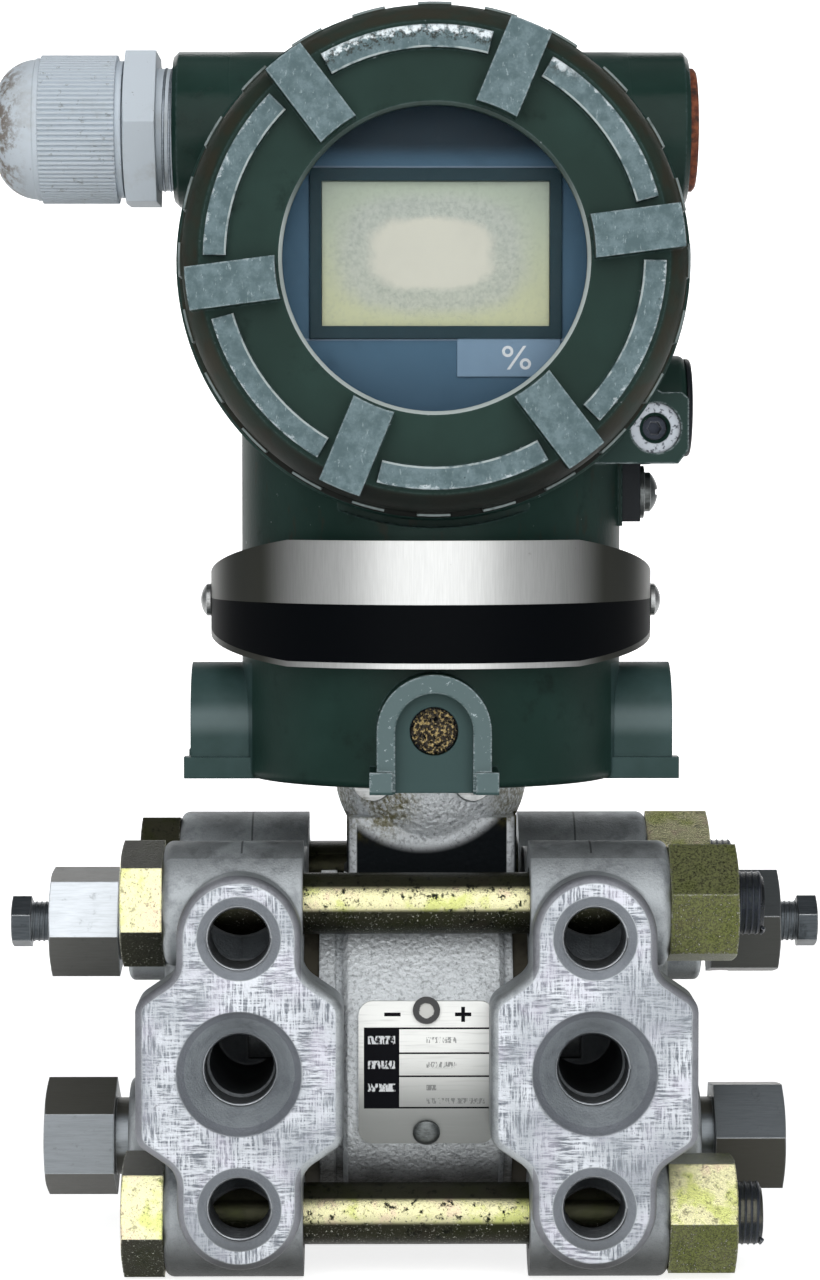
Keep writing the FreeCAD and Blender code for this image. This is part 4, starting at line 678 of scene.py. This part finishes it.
def glandSurface():
    s, shade = plasticSurface("glandPlastic", tone(204, 213, 221), tone(154, 152, 142), 0.4, 0.45)
    low, high = boxMm("gland_nut")
    noseEnd, noseStart = (low.x + reach for reach in gland["noseX"])
    muck = s.noise(0.5, 6, roughness=0.75).ramp(0.44, 0.58)
    shade = s.mix(s.x.ramp(noseEnd, noseStart) * muck * 0.8, shade, gland["muck"])
    lines = s.noise(0.7, 5, roughness=0.7).ramp(0.6, 0.66) * s.x.between(low.x + gland["linesFromX"], high.x)
    s.set("Base Color", s.mix(lines * 0.45, shade, gland["lines"]))
    return s


slate = {
    "windowTopZ": 145.9, "above": (0.2, -4.5), "ledges": (0.35, 0.3), "below": (-1, -9),
    "aboveShadow": tone(12, 32, 42), "ledge": tone(150, 166, 184), "belowColour": tone(46, 76, 98),
    "dust": tone(92, 104, 116),
}


def displayPlateSurface():
    s, shade = plasticSurface("slatePlastic", tone(68, 102, 126), tone(46, 74, 94), 0.36, 0.5)
    low, high = boxMm("display_frame")
    # painted shadow, darker towards the window's top; pale along the frame's upper and lower edge
    over, under = slate["above"]
    above = s.z.ramp(high.z + over, slate["windowTopZ"] + under)
    shade = s.mix(above * 0.95, shade, slate["aboveShadow"])
    over, under = slate["ledges"]
    ledge = s.z.between(high.z, high.z + over).highest(s.z.between(low.z - under, low.z))
    shade = s.mix(ledge * 0.6, shade, slate["ledge"])
    start, end = (low.z + drop for drop in slate["below"])
    shade = s.mix(s.z.ramp(start, end) * 0.5, shade, slate["belowColour"])
    dust = s.noise(1.1, 6, roughness=0.8).ramp(0.66, 0.69) * above
    s.set("Base Color", s.mix(dust, shade, slate["dust"]))
    return s


percent = {
    "right": 1.2, "ringX": 1.35, "ringZ": 0.95, "ring": (0.42, 0.86),
    "lean": (0.82, 0.57), "slashHalf": 0.2, "slashReach": 1.8,
}


def unitSurface():
    s, shade = plasticSurface("labelPlastic", tone(122, 150, 174), tone(104, 130, 154), 0.3, 0.3)
    middleX, _, middleZ = middleMm("unit_plate")
    across, up = s.x - middleX - percent["right"], s.z - middleZ
    marks = []
    for sign in (-1, 1):
        ringX, ringZ = across - sign * percent["ringX"], up + sign * percent["ringZ"]
        marks.append(((ringX ** 2 + ringZ ** 2) ** 0.5).between(*percent["ring"]))
    leanX, leanZ = percent["lean"]
    slash = abs(across * leanX - up * leanZ) < percent["slashHalf"]
    marks.append(slash * (abs(up) < percent["slashReach"]))
    s.set("Base Color", s.mix(anyOf(marks), shade, tone(226, 232, 236)))
    return s


wear(glandSurface(), "gland_body", "gland_nut")
wear(displayPlateSurface(), "display_plate")
wear(unitSurface(), "unit_plate")
plastics = (
    # name, colour, dirt, roughness and how dirty, and the nodes made of it
    (("darkPlastic", tone(16, 23, 29), tone(44, 50, 54), 0.35, 0.5),
     ("zero_bezel", "zero_adjuster", "ground_spacer", "window_ring", "terminal_block")),
    (("navyPlastic", tone(20, 50, 58), tone(34, 60, 66), 0.34, 0.4), ("display_frame",)),
    (("sealRubber", tone(24, 25, 26), tone(60, 58, 52), 0.6, 0.5),
     ("gland_seal", "front_cover_seal", "rear_cover_seal", "neck_seal")),
    (("gasketPlastic", tone(70, 66, 56), tone(22, 20, 16), 0.6, 0.9), ("capsule_gaskets",)),
    (("boardGreen", tone(24, 84, 52), tone(150, 130, 60), 0.35, 0.5), ("display_board", "amplifier_board")),
)
for look, covered in plastics:
    wear(plasticSurface(*look)[0], *covered)
print("plastics done")


# Display panel behind its window

panel = {
    # the pale oval and the grey halo round it: half width, half height and softness
    "left": 0.6, "halo": (14.4, 9.0, 1.5), "oval": (9.3, 5.4, 0.7),
    "foot": tone(197, 202, 160), "top": tone(178, 192, 172), "grain": tone(158, 168, 150),
    "haloLight": tone(190, 196, 189), "haloDark": tone(156, 163, 158), "ovalColour": tone(212, 212, 197),
    "spots": tone(104, 112, 98),
}


def panelSurface():
    s = Surface("displayPanel", roughness=0.35)
    low, high = boxMm("display_glass")
    middleX, _, middleZ = middleMm("display_glass")
    across, up = abs(s.x - middleX + panel["left"]), abs(s.z - middleZ)
    wander = s.noise(0.35, 4, roughness=0.6) * 1.6 - 0.8

    def oval(halfWidth, halfHeight, soft):
        # a rounded rectangle: 1 inside, 0 outside
        reach = ((across / halfWidth) ** 3 + (up / halfHeight) ** 3) ** (1 / 3)
        return (reach * halfHeight + wander).ramp(halfHeight + soft, halfHeight - soft)

    grain = s.noise(1.7, 5, roughness=0.78)
    colour = s.mix(s.z.ramp(low.z, high.z), panel["foot"], panel["top"])
    colour = s.mix(grain.ramp(0.5, 0.66) * 0.35, colour, panel["grain"])
    halo = s.mix(grain.ramp(0.36, 0.7), panel["haloLight"], panel["haloDark"])
    colour = s.mix(oval(*panel["halo"]) * 0.75, colour, halo)
    colour = s.mix(oval(*panel["oval"]), colour, panel["ovalColour"])
    s.set("Base Color", s.mix(grain.ramp(0.69, 0.73) * 0.5, colour, panel["spots"]))
    return s


def windowSurface():
    s = Surface("windowGlass", Specular_IOR_Level=0.15)
    haze = s.noise(0.12, 5, roughness=0.7)
    s.set("Base Color", tone(64, 84, 100))
    s.set("Alpha", 0.02 + haze.ramp(0.45, 0.8) * 0.04)
    s.set("Roughness", 0.05 + haze * 0.1)
    return s


wear(panelSurface(), "display_glass")
wear(windowSurface(), "window_glass")
print("display done")


# Name band and tag plate

band = {
    # forward is measured from the middle of the neck towards the front, where the band lies flat
    "middleY": 39, "flatFrom": 27.3, "slope": 0.165, "rim": 0.85, "tabEnd": 0.2, "shadeFrom": (32, 23),
    "dark": tone(184, 185, 184), "light": tone(194, 195, 194), "side": tone(60, 61, 56),
    "stains": tone(84, 80, 70), "black": tone(5, 7, 10),
}


def bandSurface():
    s = Surface("nameBand", Specular_IOR_Level=0.03)
    low, high = boxMm("nameplate")
    brush = s.noise(1.0, 3, at=s.stretched(5, 5, 0.2), roughness=0.7)
    forward = band["middleY"] - s.y
    colour = s.mix(brush.ramp(0.3, 0.7), band["dark"], band["light"])
    # painted shade where the band bends back away from the front
    colour = s.mix(forward.ramp(*band["shadeFrom"]), colour, band["side"])
    stains = s.noise(0.32, 6, roughness=0.75).ramp(0.66, 0.74)
    colour = s.mix(stains * 0.6, colour, band["stains"])
    # the lower half is black down to a rim, which rises where the band bends back
    middleZ = low.z + (high.z - low.z) * 0.5
    footZ = low.z + (band["flatFrom"] - forward).highest(0.0) * band["slope"]
    black = (s.z > footZ + band["rim"]) * (s.z < middleZ) * s.facing(z=1).ramp(0.5, 0.3)
    black = black * (forward > band["tabEnd"])
    s.set("Base Color", s.mix(black, colour, band["black"]))
    s.set("Metallic", 0.92 - black * 0.92)
    s.set("Roughness", 0.37 + brush * 0.04 + black * 0.1)
    s.set("Normal", s.bump(brush, 0.003))
    return s


tag = {
    # parts of the plate's width and height: left, bottom, right, top
    "block": (0.04, 0.262, 0.30, 0.825), "minus": (0.19, 0.90, 0.31, 0.925),
    "plusAcross": (0.71, 0.90, 0.83, 0.925), "plusUpright": (0.756, 0.862, 0.784, 0.963),
    "rules": (0.266, 0.49, 0.65, 0.819), "ruleHalf": 0.006, "ruleLeft": 0.04, "ruleRight": 1.0,
    # broken bars in place of words: their heights, and where each one in the second column ends
    "labels": (0.74, 0.57, 0.41), "labelHalf": 0.028, "labelLeft": 0.07, "labelRight": 0.27,
    "values": {0.74: 0.72, 0.57: 0.72, 0.41: 0.58, 0.315: 0.93}, "valueHalf": 0.02, "valueLeft": 0.5,
    "foot": tone(140, 142, 140), "top": tone(222, 223, 220), "brushed": tone(150, 152, 150),
    "ink": tone(8, 9, 14), "white": tone(222, 224, 226), "grey": tone(104, 106, 106),
}


def tagSurface():
    s = Surface("tagPlate", Specular_IOR_Level=0.05)
    low, high = boxMm("tag_plate")
    brush = s.noise(1.0, 2, at=s.stretched(0.15, 3, 3))
    across, up = (s.x - low.x) / (high.x - low.x), (s.z - low.z) / (high.z - low.z)

    def bar(left, bottom, right, top):
        return across.between(left, right) * up.between(bottom, top)

    def bars(left, rows, half):
        return [bar(left, level - half, right, level + half) for level, right in rows]

    colour = s.mix(up.ramp(0.15, 0.75), tag["foot"], tag["top"])
    colour = s.mix(brush.ramp(0.5, 0.75) * 0.25, colour, tag["brushed"])
    # a minus and a plus beside the stud stand for the two pressures
    signs = [bar(*tag[part]) for part in ("block", "minus", "plusAcross", "plusUpright")]
    rules = bars(tag["ruleLeft"], [(level, tag["ruleRight"]) for level in tag["rules"]], tag["ruleHalf"])
    ink = anyOf(signs + rules)
    colour = s.mix(ink, colour, tag["ink"])
    labels = bars(tag["labelLeft"], [(level, tag["labelRight"]) for level in tag["labels"]], tag["labelHalf"])
    values = bars(tag["valueLeft"], tag["values"].items(), tag["valueHalf"])
    broken = s.noise(2.2, 3, at=s.stretched(1.4, 0.2, 0.5), roughness=0.6)
    colour = s.mix(anyOf(labels) * broken.ramp(0.44, 0.5), colour, tag["white"])
    colour = s.mix(anyOf(values) * broken.ramp(0.48, 0.54) * 0.75, colour, tag["grey"])
    s.set("Base Color", colour)
    s.set("Metallic", 0.5 - ink * 0.5)
    s.set("Roughness", 0.42 + brush * 0.12)
    return s


stud = {"radius": (1.42, 1.3), "rim": tone(16, 18, 20), "middle": tone(206, 206, 202)}


def studSurface():
    s = Surface("tagStud", roughness=0.4)
    middleX, _, middleZ = middleMm("tag_plate_stud")
    reach = s.rings(middleX, middleZ) + s.noise(1.4, 3) * 0.5
    s.set("Base Color", s.mix(reach.ramp(*stud["radius"]), stud["rim"], stud["middle"]))
    return s


wear(bandSurface(), "nameplate")
wear(tagSurface(), "tag_plate")
wear(studSurface(), "tag_plate_stud")
print("plates done")


# Repeated shapes, made by geometry nodes and baked to plain meshes

class Shape(Graph):
    # a geometry tree that works on a cloud of points or a face; sockets maps a name to its kind
    def __init__(self, name, sockets):
        super().__init__(bpy.data.node_groups.new(name, "GeometryNodeTree"))
        face = self.tree.interface
        face.new_socket("Geometry", in_out="INPUT", socket_type="NodeSocketGeometry")
        face.new_socket("Geometry", in_out="OUTPUT", socket_type="NodeSocketGeometry")
        self.sockets = {}
        for label, kind in sockets.items():
            self.sockets[label] = face.new_socket(label, in_out="INPUT", socket_type=kind).identifier
        self.group = self.tree.nodes.new("NodeGroupInput")
        self.geometry = self.given("Geometry")

    def given(self, label):
        return Value(self, self.group.outputs[label])

    def end(self, instances):
        solid = self.node("GeometryNodeRealizeInstances", {}, {"Geometry": instances})
        painted = self.node("GeometryNodeSetMaterial", {}, {
            "Geometry": solid, "Material": self.given("Material")})
        self.feed(self.tree.nodes.new("NodeGroupOutput").inputs["Geometry"], painted)

    def make(self, name, body, slot, points, faces=(), **values):
        mesh = bpy.data.meshes.new(name)
        mesh.from_pydata(points, [], faces)
        item = bpy.data.objects.new(name, mesh)
        bpy.context.scene.collection.objects.link(item)
        modifier = item.modifiers.new("shape", "NODES")
        modifier.node_group = self.tree
        for label, value in values.items():
            modifier[self.sockets[label]] = value
        seen = item.evaluated_get(bpy.context.evaluated_depsgraph_get())
        plain = bpy.data.meshes.new_from_object(seen)
        item.modifiers.clear()
        item.data = plain
        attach(item, body)


def threadShape():
    # a ridge wound round each point's axis
    t = Shape("screwThread", {
        "Radius": "NodeSocketFloat", "Ridge": "NodeSocketFloat", "Pitch": "NodeSocketFloat",
        "Turns": "NodeSocketFloat", "Heading": "NodeSocketRotation", "Material": "NodeSocketMaterial"})
    coil = t.node("GeometryNodeCurveSpiral", {}, {
        "Resolution": 40, "Rotations": t.given("Turns"), "Start Radius": t.given("Radius"),
        "End Radius": t.given("Radius"), "Height": t.given("Pitch") * t.given("Turns")})
    upright = t.node("GeometryNodeSetCurveNormal", {"mode": "Z_UP"}, {"Curve": coil})
    ridge = t.node("GeometryNodeCurvePrimitiveCircle", {}, {"Resolution": 4, "Radius": t.given("Ridge")})
    solid = t.node("GeometryNodeCurveToMesh", {}, {
        "Curve": upright, "Profile Curve": ridge, "Fill Caps": True})
    placed = t.node("GeometryNodeInstanceOnPoints", {}, {
        "Points": t.geometry, "Instance": solid, "Rotation": t.given("Heading")})
    t.end(placed)
    return t


def crumbShape():
    # grit of many sizes over a surface
    t = Shape("crumbs", {
        "Grain": "NodeSocketFloat", "Density": "NodeSocketFloat", "Material": "NodeSocketMaterial"})
    spread = t.node("GeometryNodeDistributePointsOnFaces", {}, {
        "Mesh": t.geometry, "Density": t.given("Density"), "Seed": 7})
    grit = t.node("GeometryNodeMeshIcoSphere", {}, {"Radius": t.given("Grain"), "Subdivisions": 1})
    # Random Value has one pair of limits for each kind of number, told apart by their order
    turned = t.node("FunctionNodeRandomValue", {"data_type": "FLOAT_VECTOR"},
                    {0: (0, 0, 0), 1: (6.28, 6.28, 6.28), "Seed": 3})
    sized = t.node("FunctionNodeRandomValue", {"data_type": "FLOAT_VECTOR"},
                   {0: (0.35, 0.35, 0.3), 1: (1.3, 1.0, 0.9), "Seed": 5})
    placed = t.node("GeometryNodeInstanceOnPoints", {}, {
        "Points": spread, "Instance": grit, "Rotation": turned, "Scale": sized})
    t.end(placed)
    return t


tappedSteel = turnedSurface("tappedSteel", tone(170, 174, 178), tone(80, 84, 88), 0.3, 0.3)
glandThread = turnedSurface("glandThread", tone(150, 158, 166), tone(84, 92, 98), 0.35, 0.4, 0.1)
screwThread = threadShape()
quarter = math.pi / 2
towards = {"right": (0, quarter, 0), "left": (0, -quarter, 0), "back": (-quarter, 0, 0)}
portX, tapZ, glandY, glandZ = (layout[key] for key in ("portX", "tapZ", "glandY", "glandZ"))
threads = {
    # name: (body, slot, material, radius, ridge, pitch, length, heading, start points)
    "boltThreads": ("transmitter", "dark_steel", darkSteel, 4.6, 0.4, 0.95, 3.9, "right",
                    [(49.8, y, z) for y in (boltY, layout["rearBoltY"]) for z in (-boltZ, boltZ)]),
    "tappedThreads": ("transmitter", "cast_steel", tappedSteel, 5.05, 0.5, 1.27, 8.4, "back",
                      [(x, 0.9, z) for x in (-portX, portX) for z in (-tapZ, tapZ)]),
    "portThreads": ("transmitter", "cast_steel", tappedSteel, 5.85, 0.55, 1.41, 6.2, "back",
                    [(x, 5.2, 0) for x in (-portX, portX)]),
    "glandInnerThread": ("transmitter", "grey_plastic", glandThread, 9.55, 0.5, 1.0, 2.0, "left",
                         [(-38.9, glandY, glandZ)]),
    "glandOuterThread": ("transmitter", "grey_plastic", glandThread, 9.35, 0.5, 0.65, 1.0, "left",
                         [(-46.6, glandY, glandZ)]),
    "ventThreadLeft": ("vent_screw_left", "turned_steel", ventSteel, 2.9, 0.4, 0.8, 2.9, "left",
                       [(-58.8, plugY, ventZ)]),
    "ventThreadRight": ("vent_screw_right", "turned_steel", ventSteel, 2.9, 0.4, 0.8, 2.9, "right",
                        [(58.8, plugY, ventZ)]),
}
for name, (body, slot, surface, radius, ridge, pitch, length, heading, starts) in threads.items():
    screwThread.make(name, body, slot, [Vector(start) * mm for start in starts], Radius=radius * mm,
                     Ridge=ridge * mm, Pitch=pitch * mm, Turns=length / pitch, Heading=towards[heading],
                     Material=surface.material)

crumbs = {
    "grain": 0.3, "radius": 3.45, "depth": 4.6, "perSquareMm": 22, "sides": 24,
    "dark": tone(34, 27, 16), "light": tone(188, 168, 118),
}


def crumbSurface():
    s = Surface("packedDirt", roughness=0.5)
    tint = s.noise(1.8, 3)
    s.set("Base Color", s.mix(tint.ramp(0.5, 0.6), crumbs["dark"], crumbs["light"]))
    s.set("Metallic", tint.ramp(0.54, 0.6) * 0.6)
    return s


def crumbDisc():
    # the round face in the front arch that the grit lies on
    archX, _, archZ = middleMm("neck_screws")
    angles = [2 * math.pi * i / crumbs["sides"] for i in range(crumbs["sides"])]
    return [Vector((archX + crumbs["radius"] * math.cos(angle), crumbs["depth"],
                    archZ + crumbs["radius"] * math.sin(angle))) * mm for angle in angles]


crumbShape().make("archCrumbs", "transmitter", "dark_steel", crumbDisc(), [tuple(range(crumbs["sides"]))],
                  Grain=crumbs["grain"] * mm, Density=crumbs["perSquareMm"] / mm ** 2,
                  Material=crumbSurface().material)
print("threads and crumbs done")


# Floor, backdrop, lights and camera, in metres

studio = {
    "floorSize": 1.6, "backdropY": 0.36, "backdropWidth": 0.6, "backdropTop": 0.42,
    "floorGlow": 0.8, "backdropGlow": 1.0, "colour": (0.86, 0.86, 0.85, 1),
    "sky": (0.9, 0.95, 1.0, 1), "skyStrength": 0.14, "noiseLimit": 0.1, "bounces": 4,
}


def stageSurface(name, glow):
    # emits only towards the camera, and into metal and glass, so that it looks white there
    material = bpy.data.materials.new(name)
    material.use_nodes = True
    g = Graph(material.node_tree)
    g.tree.nodes.clear()
    path = g.node("ShaderNodeLightPath", {}, {}, "Is Camera Ray")
    rays = path.socket.node.outputs
    seen = anyOf([path, Value(g, rays["Is Glossy Ray"]), Value(g, rays["Is Transmission Ray"])])
    diffuse = g.node("ShaderNodeBsdfDiffuse", {}, {"Color": studio["colour"]})
    emission = g.node("ShaderNodeEmission", {}, {"Strength": seen * glow})
    both = g.node("ShaderNodeAddShader", {}, {0: diffuse, 1: emission})
    g.feed(g.tree.nodes.new("ShaderNodeOutputMaterial").inputs["Surface"], both)
    return material


def sheetOf(name, corners, glow):
    mesh = bpy.data.meshes.new(name)
    mesh.from_pydata(corners, [], [(0, 1, 2, 3)])
    mesh.materials.append(stageSurface(name + "Surface", glow))
    item = bpy.data.objects.new(name, mesh)
    bpy.context.scene.collection.objects.link(item)


floorZ = cadBox[0].z
half, deep = studio["floorSize"] / 2, studio["backdropY"]
wide, top = studio["backdropWidth"] / 2, studio["backdropTop"]
sheetOf("floor", [(-half, -half, floorZ), (half, -half, floorZ), (half, half, floorZ), (-half, half, floorZ)],
        studio["floorGlow"])
sheetOf("backdrop", [(-wide, deep, floorZ), (wide, deep, floorZ), (wide, deep, top), (-wide, deep, top)],
        studio["backdropGlow"])

softboxes = {
    # name: (place, aim, width, height, radiance)
    "frontBox": ((-0.01, -0.56, 0.27), (-0.01, -0.06, 0.10), 0.78, 0.84, 2.1),
    "topBox": ((0, 0.02, 0.62), (0, 0.02, 0), 0.6, 0.5, 0.4),
    "leftBox": ((-0.6, 0.1, 0.2), (0, 0.04, 0.08), 0.3, 0.4, 0.5),
    "rightBox": ((0.6, 0.1, 0.2), (0, 0.04, 0.08), 0.3, 0.4, 0.4),
    "backBox": ((0.1, 0.75, 0.35), (0, 0.05, 0.08), 0.5, 0.4, 0.8),
}
for name, (place, aim, width, height, radiance) in softboxes.items():
    lamp = bpy.data.lights.new(name, "AREA")
    lamp.shape = "RECTANGLE"
    lamp.size, lamp.size_y = width, height
    lamp.energy = radiance * math.pi * width * height
    softbox = bpy.data.objects.new(name, lamp)
    softbox.location = place
    softbox.rotation_euler = (Vector(aim) - Vector(place)).to_track_quat("-Z", "Y").to_euler()
    softbox.visible_camera = False
    bpy.context.scene.collection.objects.link(softbox)

world = bpy.data.worlds.new("studio")
bpy.context.scene.world = world
world.use_nodes = True
sky = world.node_tree.nodes["Background"].inputs
sky["Color"].default_value = studio["sky"]
sky["Strength"].default_value = studio["skyStrength"]

view = {
    # down and right are turns in degrees from straight ahead; lens and sensor are in millimetres
    "at": (-0.0056, -0.540, 0.0914), "down": 2.7, "right": 0.48, "lens": 100.9, "sensor": 36, "nearest": 0.01,
}
optics = bpy.data.cameras.new("camera")
optics.lens = view["lens"]
optics.sensor_width = view["sensor"]
optics.clip_start = view["nearest"]
camera = bpy.data.objects.new("camera", optics)
camera.location = view["at"]
camera.rotation_euler = (math.radians(90 - view["down"]), 0, math.radians(-view["right"]))
bpy.context.scene.collection.objects.link(camera)
bpy.context.scene.camera = camera
bpy.context.scene.view_settings.view_transform = "Standard"
bpy.context.scene.cycles.adaptive_threshold = studio["noiseLimit"]
bpy.context.scene.cycles.max_bounces = studio["bounces"]
